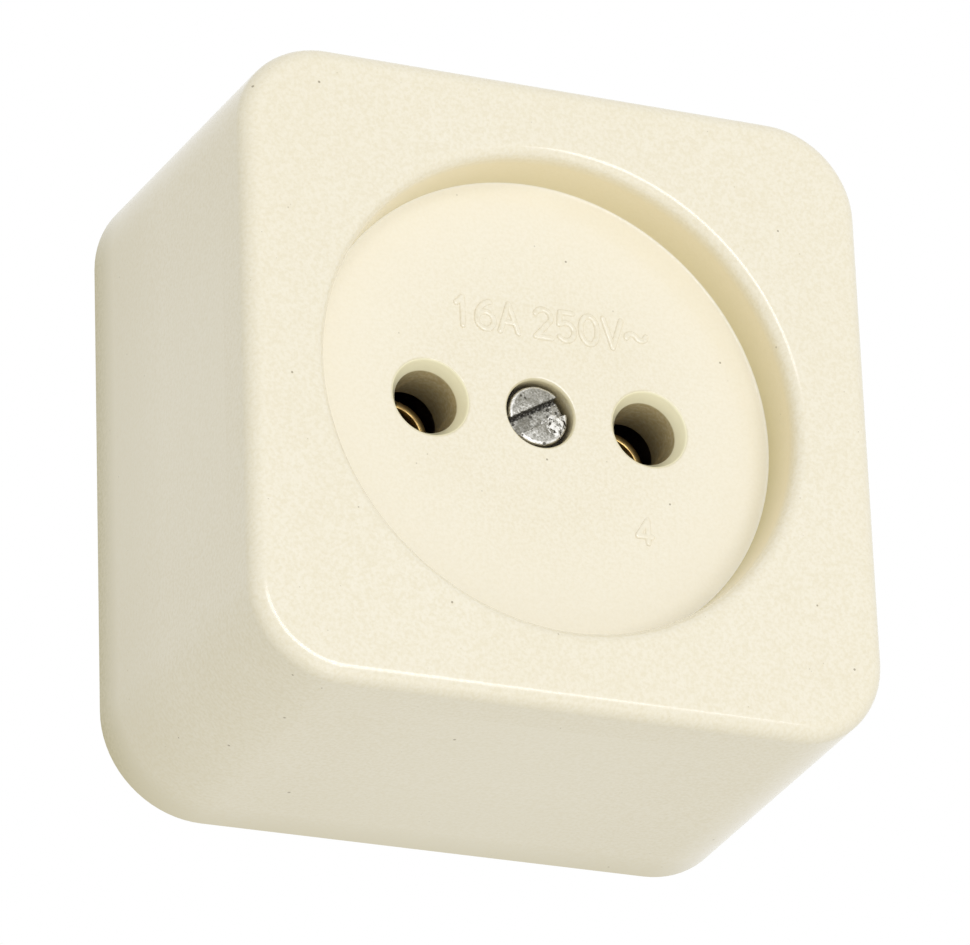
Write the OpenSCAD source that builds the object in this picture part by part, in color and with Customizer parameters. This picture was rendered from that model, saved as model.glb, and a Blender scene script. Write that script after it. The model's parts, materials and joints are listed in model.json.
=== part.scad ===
// Surface mounted two-pole socket: drafted ivory cover with a round plug recess, dark base and brass contacts.
// Built outwards from the wall: the back lies in the plane Y = 0 and the front face looks towards -Y.

/* [Cover] */
// Width and height of the cover at its front face
front_w = 53.8; // [52:0.1:60]
// How far each side leans out between the front face and the wall
side_lean = 1; // [0.2:0.1:2]
// Depth of the cover from the wall to the front face
cover_depth = 30.4; // [29:0.1:36]
// Corner radius of the front face
corner_r = 7.5; // [6:0.1:10]
// Rounding of the edge round the front face
edge_r = 1.5; // [0.5:0.1:2]
// Thickness of the side walls
wall_t = 2.4; // [1.6:0.1:3]
// Thickness of the front wall outside the recess
front_t = 2.6; // [2:0.1:3.5]
// Width of the thin panel that is broken out for the cable
knockout_w = 12; // [8:0.5:14]
// Height of that panel above the wall
knockout_h = 9; // [7:0.5:12]
// Thickness of the plastic that is left in that panel
knockout_t = 0.9; // [0.6:0.1:1.2]

/* [Plug recess] */
// Diameter of the recess at its floor
recess_d = 40; // [37:0.1:42]
// How far the recess wall leans out between the floor and the front face
recess_lean = 0.3; // [0.1:0.1:0.6]
// Depth of the recess
recess_depth = 4.85; // [4.2:0.05:6]
// Rounding of the edge round the recess
recess_rim_r = 1.1; // [0.4:0.1:1.5]
// Radius of the corner between the recess wall and its floor
recess_foot_r = 0.15; // [0.1:0.05:1]
// Thickness of the recess floor
floor_t = 2.6; // [2:0.1:3]
// Thickness of the wall round the recess
dish_t = 2.2; // [1.5:0.1:3]
// Thickness of the ribs behind the recess floor
floor_rib_t = 1.6; // [1:0.1:2.5]

/* [Pin holes] */
// Distance between the pin axes
pin_pitch = 19; // [18.5:0.1:20]
// Length of the plug pin beyond the recess floor
pin_length = 19; // [17:0.5:19.5]
// Diameter of a pin hole
pin_hole_d = 5.35; // [4.9:0.05:5.6]
// Diameter of its conical mouth
pin_mouth_d = 6.3; // [5.8:0.1:7]
// Depth of its conical mouth
pin_mouth_depth = 1; // [0.5:0.1:1.5]
// Length of a pin hole from the recess floor to the end of its collar
collar_l = 5.5; // [3.8:0.1:6]
// Thickness of the collar round a pin hole
collar_t = 2.2; // [1.5:0.1:2.5]

/* [Cover screw] */
// Diameter of the screw head
screw_head_d = 5.1; // [4.6:0.05:5.3]
// Height of the screw head, crown and all
screw_head_h = 2.7; // [2.2:0.1:2.8]
// How much of that height is the crown
screw_crown = 0.15; // [0.1:0.05:0.6]
// Diameter of the thread
screw_d = 3; // [2.6:0.1:3.2]
// Length of the screw under its head
screw_l = 11; // [8:0.5:12]
// Width of the slot
screw_slot_w = 1.5; // [0.8:0.05:1.6]
// Depth of the slot
screw_slot_depth = 1.6; // [0.8:0.1:1.8]
// Direction of the slot, from level
screw_slot_turn = 29.5; // [0:0.5:90]
// Depth of the screw head's seat below the recess floor
screw_seat_depth = 2.95; // [2.8:0.05:3.2]
// Gap round the screw head
head_gap = 0.34; // [0.2:0.02:0.6]
// Thickness of the washer that keeps the screw in the cover
washer_t = 0.5; // [0.3:0.1:0.8]
// Outer diameter of that washer
washer_d = 6.4; // [5:0.1:6.6]
// Depth of the washer's recess in the pillar
washer_recess = 1.2; // [1:0.1:1.6]
// Length of the threaded insert
insert_l = 8; // [5:0.5:9]
// Diameter of the threaded insert
insert_d = 5.8; // [5:0.1:6.2]
// Depth of the grooves round the insert
insert_groove = 0.35; // [0.2:0.05:0.5]

/* [Base] */
// Thickness of the base plate
base_t = 4; // [3:0.1:4.5]
// Gap between the base and the cover
base_gap = 0.35; // [0.3:0.05:0.6]
// Height of the rim round the base above the wall
base_rim_h = 6.5; // [5:0.1:8]
// Thickness of that rim
base_rim_t = 1.6; // [1:0.1:2]
// Diameter of the pillar that carries the cover
pillar_d = 9.2; // [8.6:0.1:10]
// Width of the tower round each contact
tower_w = 11.4; // [11:0.1:12.5]
// Corner radius of a tower
tower_r = 1.5; // [0.5:0.1:2]
// Gap between a tower and the collar in front of it
tower_gap = 0.5; // [0.3:0.1:1]
// Height of the terminal beds above the wall
bed_h = 7.8; // [7.4:0.1:8.4]
// Thickness of the barriers beside each terminal
barrier_t = 1.1; // [0.8:0.1:1.2]
// Height of the barriers above the wall
barrier_h = 13; // [11:0.5:16]
// Thickness of the ribs between the towers and the rim
base_rib_t = 1.6; // [1:0.1:2.5]
// Distance between the wall screw holes
wall_hole_pitch = 32; // [30:0.5:33]
// Diameter of a wall screw hole
wall_hole_d = 4.4; // [3.6:0.1:4.6]
// Diameter of its countersink
wall_sink_d = 8.2; // [7:0.1:8.4]
// Radius of the cable notch in the top edge
cable_notch_r = 4; // [3:0.1:4.2]

/* [Contacts] */
// Bore of a contact sleeve
sleeve_bore_d = 4.7; // [4:0.05:4.8]
// Wall thickness of a contact sleeve
sleeve_t = 0.75; // [0.6:0.05:0.85]
// Distance of a contact sleeve's rim behind the collar
sleeve_set = 2.3; // [1.5:0.1:6]
// Width of the slits in a contact sleeve
slit_w = 0.7; // [0.4:0.05:1]
// Solid length of a contact sleeve behind its slits
sleeve_root_l = 2; // [1.5:0.1:3]
// Chamfer inside the rim of a contact sleeve
sleeve_chamfer = 0.25; // [0.1:0.05:0.4]
// Diameter of the neck that is swaged into the strip
neck_d = 5.6; // [5.3:0.05:5.8]
// Distance of the spring groove behind the sleeve's rim
groove_set = 1.2; // [0.9:0.1:3]
// Depth of the spring groove
groove_depth = 0.3; // [0.2:0.05:0.35]
// Wire diameter of the ring spring
spring_wire = 0.8; // [0.6:0.05:0.9]
// Angle that the ring spring covers
spring_turn = 335; // [300:5:345]
// Gap between the ring spring and its groove
spring_gap = 0.05; // [0.02:0.01:0.1]
// Gap between a ring spring and the tower round it
cavity_gap = 0.35; // [0.3:0.05:0.5]
// Space left beyond the tip of a plug pin
tip_gap = 0.9; // [0.5:0.1:1.2]

/* [Terminals] */
// Thickness of a terminal strip
strip_t = 1; // [0.8:0.1:1.2]
// Width of a terminal strip
strip_w = 5.6; // [5:0.1:5.8]
// Width of the ring that holds the sleeve
strip_ring_d = 8; // [7:0.1:8]
// Gap beside a strip in its slot
strip_gap = 0.3; // [0.1:0.05:0.5]
// Distance of the fixing screw from the pin axis
fixing_y = 8.8; // [8.4:0.1:9]
// Distance of the terminal screw from the fixing screw
terminal_step = 6.6; // [6.4:0.1:7]
// Diameter of the terminal screw head
terminal_head_d = 6.2; // [5.6:0.1:6.4]
// Height of the terminal screw head
terminal_head_h = 2.2; // [1.8:0.1:2.6]
// Thread diameter of the terminal screw
terminal_d = 3.5; // [3:0.1:3.6]
// Length of the terminal screw under its head
terminal_l = 5.6; // [5:0.1:6]
// Thickness of the saddle washer
saddle_t = 0.8; // [0.6:0.1:1]
// Length of the saddle washer
saddle_l = 6.2; // [5.6:0.1:6.6]
// Length of the lips that hold the saddle washer over the strip
saddle_lip = 0.8; // [0.5:0.1:0.9]
// Width across the flats of the square nut
nut_w = 5.6; // [5.2:0.1:6]
// Thickness of the square nut
nut_t = 2.2; // [1.8:0.1:2.6]
// Diameter of the fixing screw head
fixing_head_d = 5.5; // [5:0.1:5.8]
// Height of the fixing screw head
fixing_head_h = 2; // [1.6:0.1:2.2]
// Thread diameter of the fixing screw
fixing_d = 3; // [2.6:0.1:3.2]
// How far the fixing screw head lies below the back face
fixing_sink = 0.3; // [0.2:0.1:0.6]
// How far the fixing screw stands out of the strip
fixing_stub = 0.5; // [0.2:0.1:0.8]
// Thickness of the lock washer
lock_t = 0.6; // [0.4:0.1:0.8]
// Width of the split in the lock washer
lock_split = 0.6; // [0.4:0.1:1]
// Width of the slots in the terminal and fixing screws
small_slot_w = 0.9; // [0.6:0.1:1.2]
// Depth of the slots in the terminal and fixing screws
small_slot_depth = 1.1; // [0.8:0.1:1.2]

/* [Fits] */
// Radial gap between a screw and the thread that it turns in
thread_gap = 0.05; // [0.02:0.01:0.1]
// Radial gap between a screw and a hole that it only passes
pass_gap = 0.25; // [0.15:0.05:0.4]
// Gap round a nut, a washer or an insert in its pocket
pocket_gap = 0.1; // [0.05:0.05:0.2]
// Space left beyond the end of a screw
end_gap = 0.6; // [0.4:0.1:1]
// Chamfer at the end of a screw
tip_chamfer = 0.4; // [0.2:0.1:0.6]
// Chamfer round the small screw heads
head_chamfer = 0.35; // [0.2:0.05:0.5]

/* [Hidden] */
$fn = 64;

// Overrun of a cut beyond the face that it opens
cut = 1;
// Steps in a drawn arc
arc_steps = 8;
// The two sides, as factors of half the pin pitch
left = -1;
right = 1;

ivory = "#f3ead2";
dark_brown = "#33241b";
brass = "#c9a34a";
steel = "#b8b8b4";
spring_steel = "#8f9296";

// Heights above the wall plane
floor_h = cover_depth - recess_depth;
collar_h = floor_h - collar_l;
head_seat_h = floor_h - screw_seat_depth;
tower_h = collar_h - tower_gap;
tip_floor_h = floor_h - pin_length - tip_gap;
strip_top_h = bed_h + strip_t;
sleeve_rim_h = collar_h - sleeve_set;
insert_top_h = collar_h - washer_recess;
terminal_seat_h = strip_top_h + saddle_t;
fixing_seat_h = fixing_sink + fixing_head_h;

// Half sizes and radii
corner_at = front_w / 2 - corner_r;
lean_angle = atan(side_lean / cover_depth);
recess_r = recess_d / 2;
recess_rim_at = recess_r + recess_lean + recess_rim_r;
recess_angle = atan(recess_lean / recess_depth);
sleeve_r = sleeve_bore_d / 2 + sleeve_t;
groove_r = sleeve_r - groove_depth;
spring_ring_r = groove_r + spring_gap + spring_wire / 2;
cavity_r = spring_ring_r + spring_wire / 2 + cavity_gap;
base_corner_r = corner_r + side_lean * (1 - base_rim_h / cover_depth) - wall_t - base_gap;
base_half = corner_at + base_corner_r;
terminal_y = fixing_y + terminal_step;
saddle_w = strip_w + 2 * (strip_gap / 2 + saddle_t);
bed_w = saddle_w + 2 * (strip_gap + barrier_t);
bed_end_y = terminal_y + strip_w / 2 + barrier_t;
fixing_l = strip_top_h + fixing_stub - fixing_seat_h;

// Turns what is built upwards from the wall plane so that it faces the room
module on_wall() {
    rotate([90, 0, 0]) children();
}

// Points of an arc in the order of its angles
function arc(centre, r, from, to) = [
    for (i = [0:arc_steps])
        let (a = from + (to - from) * i / arc_steps)
        [centre[0] + r * cos(a), centre[1] + r * sin(a)]
];

// Corner radius of the cover's outside at a height above the wall
function lean_r(h) = corner_r + side_lean * (1 - h / cover_depth);

// Block with square plan and round corners, whose whole edge has one profile of radius and height
module edge_block(profile, h0, h1) {
    for (k = [0:3]) rotate([0, 0, 90 * k]) {
        translate([corner_at, corner_at, 0]) rotate_extrude(angle = 90) polygon(profile);
        translate([corner_at, 0, 0]) rotate([90, 0, 0])
            linear_extrude(2 * corner_at, center = true) polygon(profile);
    }
    translate([-corner_at, -corner_at, h0]) cube([2 * corner_at, 2 * corner_at, h1 - h0]);
}

// Flat rounded square
module rounded_square(half, r) {
    square([2 * (half - r), 2 * half], center = true);
    square([2 * half, 2 * (half - r)], center = true);
    for (x = [-1, 1], y = [-1, 1]) translate([x * (half - r), y * (half - r)]) circle(r);
}

// Cover, outside
module cover_outside() {
    edge_at = [
        corner_r + edge_r * tan(lean_angle) - edge_r / cos(lean_angle),
        cover_depth - edge_r
    ];
    profile = concat(
        [[0, 0], [lean_r(0), 0]],
        arc(edge_at, edge_r, lean_angle, 90),
        [[0, cover_depth]]
    );
    edge_block(profile, 0, cover_depth);
}

// Cover, room inside
module cover_inside() {
    top = cover_depth - front_t;
    profile = [[0, -cut], [lean_r(-cut) - wall_t, -cut], [lean_r(top) - wall_t, top], [0, top]];
    edge_block(profile, -cut, top);
}

// Plug recess, as the space that it takes
module recess_space() {
    foot = arc([recess_r - recess_foot_r, floor_h + recess_foot_r], recess_foot_r, -90, 0);
    rim = arc([recess_rim_at, cover_depth - recess_rim_r], recess_rim_r, 180 - recess_angle, 90);
    outside = [[recess_rim_at, cover_depth + cut], [0, cover_depth + cut]];
    rotate_extrude() polygon(concat([[0, floor_h]], foot, rim, outside));
}

// Pin hole with its conical mouth, as the space that it takes
module pin_space() {
    hole_r = pin_hole_d / 2;
    mouth_r = pin_mouth_d / 2;
    rotate_extrude() polygon([
        [0, collar_h - cut], [hole_r, collar_h - cut], [hole_r, floor_h - pin_mouth_depth],
        [mouth_r, floor_h], [mouth_r, floor_h + cut], [0, floor_h + cut]
    ]);
}

// Stepped hole of the cover screw, as the space that it takes
module cover_screw_space() {
    translate([0, 0, collar_h - cut]) cylinder(d = screw_d + 2 * pass_gap, h = cut + floor_h - collar_h);
    translate([0, 0, head_seat_h]) cylinder(d = screw_head_d + 2 * head_gap, h = screw_seat_depth + cut);
}

// Collars, boss and ribs behind the recess floor
module floor_back() {
    collar_r = pin_hole_d / 2 + collar_t;
    overlap = floor_t / 2;
    height = collar_l - overlap;
    reach = recess_r;
    for (side = [left, right])
        translate([side * pin_pitch / 2, 0, collar_h]) cylinder(r = collar_r, h = height);
    translate([0, 0, collar_h]) cylinder(d = pillar_d, h = height);
    translate([-floor_rib_t / 2, -reach, collar_h + tower_gap]) cube([floor_rib_t, 2 * reach, height - tower_gap]);
    translate([-reach, -floor_rib_t / 2, collar_h + tower_gap]) cube([2 * reach, floor_rib_t, height - tower_gap]);
}

// Thin panel in the top wall, as the space that is cut from inside
module knockout_space() {
    straight = knockout_h - knockout_w / 2;
    skin_at = front_w / 2 + side_lean * (1 - knockout_h / cover_depth) - knockout_t;
    translate([0, skin_at, 0]) rotate([90, 0, 0]) linear_extrude(wall_t + side_lean) {
        translate([-knockout_w / 2, -cut]) square([knockout_w, straight + cut]);
        translate([0, straight]) circle(d = knockout_w);
    }
}

// Cover
module cover() {
    color(ivory) on_wall() difference() {
        union() {
            difference() {
                cover_outside();
                cover_inside();
                knockout_space();
            }
            translate([0, 0, floor_h - floor_t])
                cylinder(r = recess_r + dish_t, h = recess_depth + floor_t - front_t / 2);
            floor_back();
        }
        recess_space();
        for (side = [left, right]) translate([side * pin_pitch / 2, 0, 0]) pin_space();
        cover_screw_space();
    }
}

// Screw that points down, with its head on the plane that it is built on
module slotted_screw(head_d, head_h, crown, chamfer, d, l, slot_w, slot_depth) {
    crown_r = (pow(head_d / 2 - chamfer, 2) + pow(crown, 2)) / (2 * crown);
    crown_from = asin((head_d / 2 - chamfer) / crown_r);
    crown_points = arc([0, head_h - crown_r], crown_r, 90 - crown_from, 90);
    difference() {
        rotate_extrude() polygon(concat(
            [[0, -l], [d / 2 - tip_chamfer, -l], [d / 2, -l + tip_chamfer], [d / 2, 0],
            [head_d / 2, 0], [head_d / 2, head_h - crown - chamfer]],
            crown_points
        ));
        translate([-head_d, -slot_w / 2, head_h - slot_depth]) cube([2 * head_d, slot_w, slot_depth + cut]);
    }
}

// Cover screw
module cover_screw() {
    edge = 0.25;
    color(steel) on_wall() translate([0, 0, head_seat_h]) rotate([0, 0, screw_slot_turn])
        slotted_screw(screw_head_d, screw_head_h, screw_crown, edge, screw_d, screw_l, screw_slot_w, screw_slot_depth);
}

// Washer that keeps the cover screw in the cover
module captive_washer() {
    color(spring_steel) on_wall() translate([0, 0, collar_h - washer_t]) difference() {
        cylinder(d = washer_d, h = washer_t);
        translate([0, 0, -cut]) cylinder(r = screw_d / 2 + thread_gap, h = washer_t + 2 * cut);
    }
}

// Threaded insert with two grooves that hold it in the pillar
module threaded_insert() {
    bore_r = screw_d / 2 + thread_gap;
    outer_r = insert_d / 2;
    band = insert_l / 5;
    color(brass) on_wall() translate([0, 0, insert_top_h - insert_l]) rotate_extrude() polygon([
        [bore_r, 0], [outer_r, 0], [outer_r, band],
        [outer_r - insert_groove, band], [outer_r - insert_groove, 2 * band],
        [outer_r, 2 * band], [outer_r, 3 * band],
        [outer_r - insert_groove, 3 * band], [outer_r - insert_groove, 4 * band],
        [outer_r, 4 * band], [outer_r, insert_l], [bore_r, insert_l]
    ]);
}

// Base, solid parts on the side of one contact
module contact_side() {
    linear_extrude(tower_h) rounded_square(tower_w / 2, tower_r);
    translate([-bed_w / 2, 0, 0]) cube([bed_w, bed_end_y, bed_h]);
    for (x = [-bed_w / 2, bed_w / 2 - barrier_t])
        translate([x, tower_w / 2 - tower_r, 0]) cube([barrier_t, bed_end_y - tower_w / 2 + tower_r, barrier_h]);
    translate([-base_rib_t / 2, -base_half + base_rim_t / 2, 0])
        cube([base_rib_t, base_half - base_rim_t / 2, base_rim_h]);
}

// Base, spaces on the side of one contact
module contact_side_space() {
    slot_w = strip_w + 2 * strip_gap;
    translate([0, 0, bed_h]) cylinder(r = cavity_r, h = tower_h - bed_h + cut);
    translate([-slot_w / 2, 0, bed_h]) cube([slot_w, tower_w / 2 + cut, tower_h - bed_h + cut]);
    translate([0, 0, tip_floor_h]) cylinder(d = neck_d + strip_gap, h = bed_h - tip_floor_h + cut);
    translate([0, fixing_y, 0]) {
        translate([0, 0, -cut]) cylinder(d = fixing_head_d + 2 * pass_gap, h = fixing_seat_h + lock_t + cut);
        cylinder(d = fixing_d + 2 * pass_gap, h = bed_h + cut);
    }
    translate([0, terminal_y, 0]) {
        pocket_w = nut_w + 2 * pocket_gap;
        end_h = terminal_seat_h - terminal_l - end_gap;
        translate([-pocket_w / 2, -pocket_w / 2, bed_h - nut_t - pocket_gap])
            cube([pocket_w, pocket_w, nut_t + pocket_gap + cut]);
        translate([0, 0, end_h]) cylinder(d = terminal_d + 2 * pass_gap, h = bed_h - end_h);
    }
}

// Wall screw hole with its countersink, as the space that it takes
module wall_hole_space() {
    sink = (wall_sink_d - wall_hole_d) / 2;
    translate([0, 0, -cut]) cylinder(d = wall_hole_d, h = base_t + 2 * cut);
    translate([0, 0, base_t - sink]) cylinder(d1 = wall_hole_d, d2 = wall_sink_d + 2 * cut, h = sink + cut);
}

// Pillar's stepped hole for the washer, the insert and the end of the screw
module pillar_space() {
    end_h = head_seat_h - screw_l - end_gap;
    translate([0, 0, insert_top_h]) cylinder(d = washer_d + 4 * pocket_gap, h = washer_recess + cut);
    translate([0, 0, insert_top_h - insert_l]) cylinder(d = insert_d + pocket_gap, h = insert_l + cut);
    translate([0, 0, end_h]) cylinder(d = screw_d + 2 * pass_gap, h = insert_top_h - end_h);
}

// Base
module base() {
    color(dark_brown) on_wall() difference() {
        union() {
            linear_extrude(base_t) rounded_square(base_half, base_corner_r);
            linear_extrude(base_rim_h) difference() {
                rounded_square(base_half, base_corner_r);
                rounded_square(base_half - base_rim_t, base_corner_r - base_rim_t);
            }
            cylinder(d = pillar_d, h = collar_h);
            for (side = [left, right]) translate([side * pin_pitch / 2, 0, 0]) contact_side();
        }
        for (side = [left, right]) translate([side * pin_pitch / 2, 0, 0]) contact_side_space();
        for (y = [-1, 1]) translate([0, y * wall_hole_pitch / 2, 0]) wall_hole_space();
        pillar_space();
        translate([0, base_half, -cut]) cylinder(r = cable_notch_r, h = base_rim_h + 2 * cut);
    }
}

// Contact sleeve, slit crosswise so that it grips the pin
module contact_sleeve(side) {
    bore_r = sleeve_bore_d / 2;
    groove_h = sleeve_rim_h - groove_set;
    groove_w = spring_wire + 2 * spring_gap;
    color(brass) on_wall() translate([side * pin_pitch / 2, 0, 0]) difference() {
        rotate_extrude() polygon([
            [bore_r, bed_h], [neck_d / 2, bed_h], [neck_d / 2, strip_top_h], [sleeve_r, strip_top_h],
            [sleeve_r, groove_h - groove_w / 2], [groove_r, groove_h - groove_w / 2],
            [groove_r, groove_h + groove_w / 2], [sleeve_r, groove_h + groove_w / 2],
            [sleeve_r, sleeve_rim_h], [bore_r + sleeve_chamfer, sleeve_rim_h],
            [bore_r, sleeve_rim_h - sleeve_chamfer]
        ]);
        for (turn = [0, 90]) rotate([0, 0, turn])
            translate([-slit_w / 2, -2 * sleeve_r, strip_top_h + sleeve_root_l])
                cube([slit_w, 4 * sleeve_r, sleeve_rim_h - strip_top_h]);
    }
}

// Ring spring round a contact sleeve
module ring_spring(side) {
    color(spring_steel) on_wall() translate([side * pin_pitch / 2, 0, sleeve_rim_h - groove_set])
        rotate([0, 0, 90 + (360 - spring_turn) / 2])
            rotate_extrude(angle = spring_turn) translate([spring_ring_r, 0]) circle(d = spring_wire, $fn = 24);
}

// Terminal strip, from the ring round the sleeve to the terminal
module terminal_strip(side) {
    color(brass) on_wall() translate([side * pin_pitch / 2, 0, bed_h]) linear_extrude(strip_t) difference() {
        union() {
            circle(d = strip_ring_d);
            translate([-strip_w / 2, 0]) square([strip_w, terminal_y]);
            translate([0, terminal_y]) circle(d = strip_w);
        }
        circle(d = neck_d + 2 * thread_gap);
        translate([0, fixing_y]) circle(r = fixing_d / 2 + thread_gap);
        translate([0, terminal_y]) circle(r = terminal_d / 2 + pass_gap);
    }
}

// Terminal screw
module terminal_screw(side) {
    crown = 0.2;
    color(steel) on_wall() translate([side * pin_pitch / 2, terminal_y, terminal_seat_h])
        rotate([0, 0, side * 40])
            slotted_screw(
                terminal_head_d, terminal_head_h, crown, head_chamfer,
                terminal_d, terminal_l, small_slot_w, small_slot_depth
            );
}

// Saddle washer, whose two lips straddle the strip
module saddle_washer(side) {
    color(brass) on_wall() translate([side * pin_pitch / 2, terminal_y, strip_top_h]) difference() {
        union() {
            translate([-saddle_w / 2, -saddle_l / 2, 0]) cube([saddle_w, saddle_l, saddle_t]);
            for (x = [-saddle_w / 2, saddle_w / 2 - saddle_t])
                translate([x, -saddle_l / 2, -saddle_lip]) cube([saddle_t, saddle_l, saddle_lip + saddle_t / 2]);
        }
        translate([0, 0, -cut]) cylinder(r = terminal_d / 2 + pass_gap, h = saddle_t + 2 * cut);
    }
}

// Square nut that the terminal screw draws up under the strip
module square_nut(side) {
    color(steel) on_wall() translate([side * pin_pitch / 2, terminal_y, bed_h - nut_t]) difference() {
        intersection() {
            translate([-nut_w / 2, -nut_w / 2, 0]) cube([nut_w, nut_w, nut_t]);
            cylinder(d1 = 1.28 * nut_w, d2 = 1.6 * nut_w, h = nut_t);
        }
        translate([0, 0, -cut]) cylinder(r = terminal_d / 2 + thread_gap, h = nut_t + 2 * cut);
    }
}

// Screw from behind that holds the strip to the base
module fixing_screw(side) {
    crown = 0.15;
    color(steel) on_wall() translate([side * pin_pitch / 2, fixing_y, fixing_seat_h])
        rotate([180, 0, side * 25])
            slotted_screw(
                fixing_head_d, fixing_head_h, crown, head_chamfer,
                fixing_d, fixing_l, small_slot_w, small_slot_depth
            );
}

// Split lock washer under the head of the fixing screw
module lock_washer(side) {
    color(spring_steel) on_wall() translate([side * pin_pitch / 2, fixing_y, fixing_seat_h]) difference() {
        cylinder(d = fixing_head_d - 2 * pocket_gap, h = lock_t);
        translate([0, 0, -cut]) cylinder(d = fixing_d + pass_gap, h = lock_t + 2 * cut);
        translate([0, -lock_split / 2, -cut]) cube([fixing_head_d, lock_split, lock_t + 2 * cut]);
    }
}

cover();
base();
cover_screw();
captive_washer();
threaded_insert();
contact_sleeve(left);  // contact_sleeve_left
contact_sleeve(right);  // contact_sleeve_right
ring_spring(left);  // ring_spring_left
ring_spring(right);  // ring_spring_right
terminal_strip(left);  // terminal_strip_left
terminal_strip(right);  // terminal_strip_right
terminal_screw(left);  // terminal_screw_left
terminal_screw(right);  // terminal_screw_right
saddle_washer(left);  // saddle_washer_left
saddle_washer(right);  // saddle_washer_right
square_nut(left);  // square_nut_left
square_nut(right);  // square_nut_right
fixing_screw(left);  // fixing_screw_left
fixing_screw(right);  // fixing_screw_right
lock_washer(left);  // lock_washer_left
lock_washer(right);  // lock_washer_right
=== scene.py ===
import json
import math

import bmesh
import bpy
from bpy.props import FloatProperty, FloatVectorProperty, PointerProperty, StringProperty
from mathutils import Matrix, Vector, noise


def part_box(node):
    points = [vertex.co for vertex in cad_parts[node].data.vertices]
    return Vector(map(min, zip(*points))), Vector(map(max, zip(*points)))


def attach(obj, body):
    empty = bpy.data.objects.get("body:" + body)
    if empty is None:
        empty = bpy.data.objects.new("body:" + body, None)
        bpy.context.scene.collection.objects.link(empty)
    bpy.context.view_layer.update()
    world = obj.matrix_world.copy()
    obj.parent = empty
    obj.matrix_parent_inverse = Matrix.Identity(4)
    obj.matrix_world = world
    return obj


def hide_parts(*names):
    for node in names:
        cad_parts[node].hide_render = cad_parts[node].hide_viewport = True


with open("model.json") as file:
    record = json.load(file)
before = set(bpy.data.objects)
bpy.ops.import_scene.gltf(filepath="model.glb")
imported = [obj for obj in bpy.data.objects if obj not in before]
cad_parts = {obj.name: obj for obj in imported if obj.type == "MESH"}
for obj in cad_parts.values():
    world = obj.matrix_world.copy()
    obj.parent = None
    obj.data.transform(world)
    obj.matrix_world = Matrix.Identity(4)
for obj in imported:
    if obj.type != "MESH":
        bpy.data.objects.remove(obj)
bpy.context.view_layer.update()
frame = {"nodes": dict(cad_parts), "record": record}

bl_info = {
    "name": "Surface Mounted Socket",
    "version": (1, 0, 0),
    "blender": (4, 5, 0),
    "location": "View3D > Sidebar > Socket",
    "description": "Ivory two-pole socket with its cover, screws, contacts, base and studio",
    "category": "Object",
}

MM = 0.001
COVER_LOW, COVER_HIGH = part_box("cover")
SCREW_LOW, SCREW_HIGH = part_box("cover_screw")
SIDES = {"left": -1, "right": 1}
BODY = "root"


# Settings that a user would change

def size(name, description, value):
    return FloatProperty(
        name=name, description=description, default=value, min=0.0, unit="LENGTH", precision=5,
    )


def tone(name, description, value):
    return FloatVectorProperty(
        name=name, description=description, default=value, min=0.0, max=1.0, size=3, subtype="COLOR",
    )


def heading(name, description, degrees):
    return FloatProperty(name=name, description=description, default=math.radians(degrees), subtype="ANGLE")


def amount(name, description, value, low=0.0):
    return FloatProperty(name=name, description=description, default=value, min=low)


class CoverSettings(bpy.types.PropertyGroup):
    """Sizes of the ivory cover"""
    depth: size("Depth", "From the wall to the front face", -COVER_LOW.y)
    half_back: size("Half width at the wall", "Half of the cover's width at the wall", COVER_HIGH.x)
    lean: size("Lean", "How far each side leans out towards the wall", 1.0 * MM)
    corner: size("Corner radius", "Corner radius of the front face", 7.5 * MM)
    edge: size("Edge rounding", "Rounding between the sides and the front face", 1.5 * MM)
    wall: size("Wall", "Thickness of the side walls", 2.4 * MM)
    front: size("Front wall", "Thickness of the front wall", 2.6 * MM)
    recess_radius: size("Recess radius", "Radius of the plug recess at its floor", 20.0 * MM)
    recess_lean: size("Recess lean", "How far the recess wall leans out towards the front", 0.3 * MM)
    recess_depth: size("Recess depth", "Depth of the plug recess", 4.85 * MM)
    recess_rim: size("Recess rim", "Rounding of the edge round the recess", 1.1 * MM)
    recess_foot: size("Recess foot", "Radius between the recess wall and its floor", 0.15 * MM)
    floor: size("Floor", "Thickness of the recess floor", 2.6 * MM)
    dish: size("Dish wall", "Thickness of the wall round the recess", 2.2 * MM)
    pitch: size("Pin pitch", "Distance between the two pin holes", 19.0 * MM)
    pin_radius: size("Pin hole radius", "Radius of a pin hole", 2.675 * MM)
    mouth_radius: size("Mouth radius", "Radius of a pin hole's conical mouth", 3.15 * MM)
    mouth_depth: size("Mouth depth", "Depth of a pin hole's conical mouth", 1.0 * MM)
    collar: size("Collar length", "Length of a pin hole from the recess floor", 5.5 * MM)
    collar_radius: size("Collar radius", "Outer radius of the collar round a pin hole", 4.875 * MM)
    boss_radius: size("Boss radius", "Outer radius of the boss round the screw", 4.6 * MM)
    rib: size("Rib", "Thickness of the ribs behind the recess floor", 1.6 * MM)
    screw_hole: size("Screw head hole", "Radius of the hole round the screw head", 2.89 * MM)
    screw_pass: size("Screw hole", "Radius of the hole that the thread passes", 1.75 * MM)
    screw_seat: size("Screw seat", "Depth of the screw's seat below the recess floor", 2.95 * MM)
    knockout_width: size("Knockout width", "Width of the thin panel for the cable", 12.0 * MM)
    knockout_height: size("Knockout height", "Height of that panel above the wall", 9.0 * MM)
    knockout_skin: size("Knockout skin", "Plastic that is left in that panel", 0.9 * MM)


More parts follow.
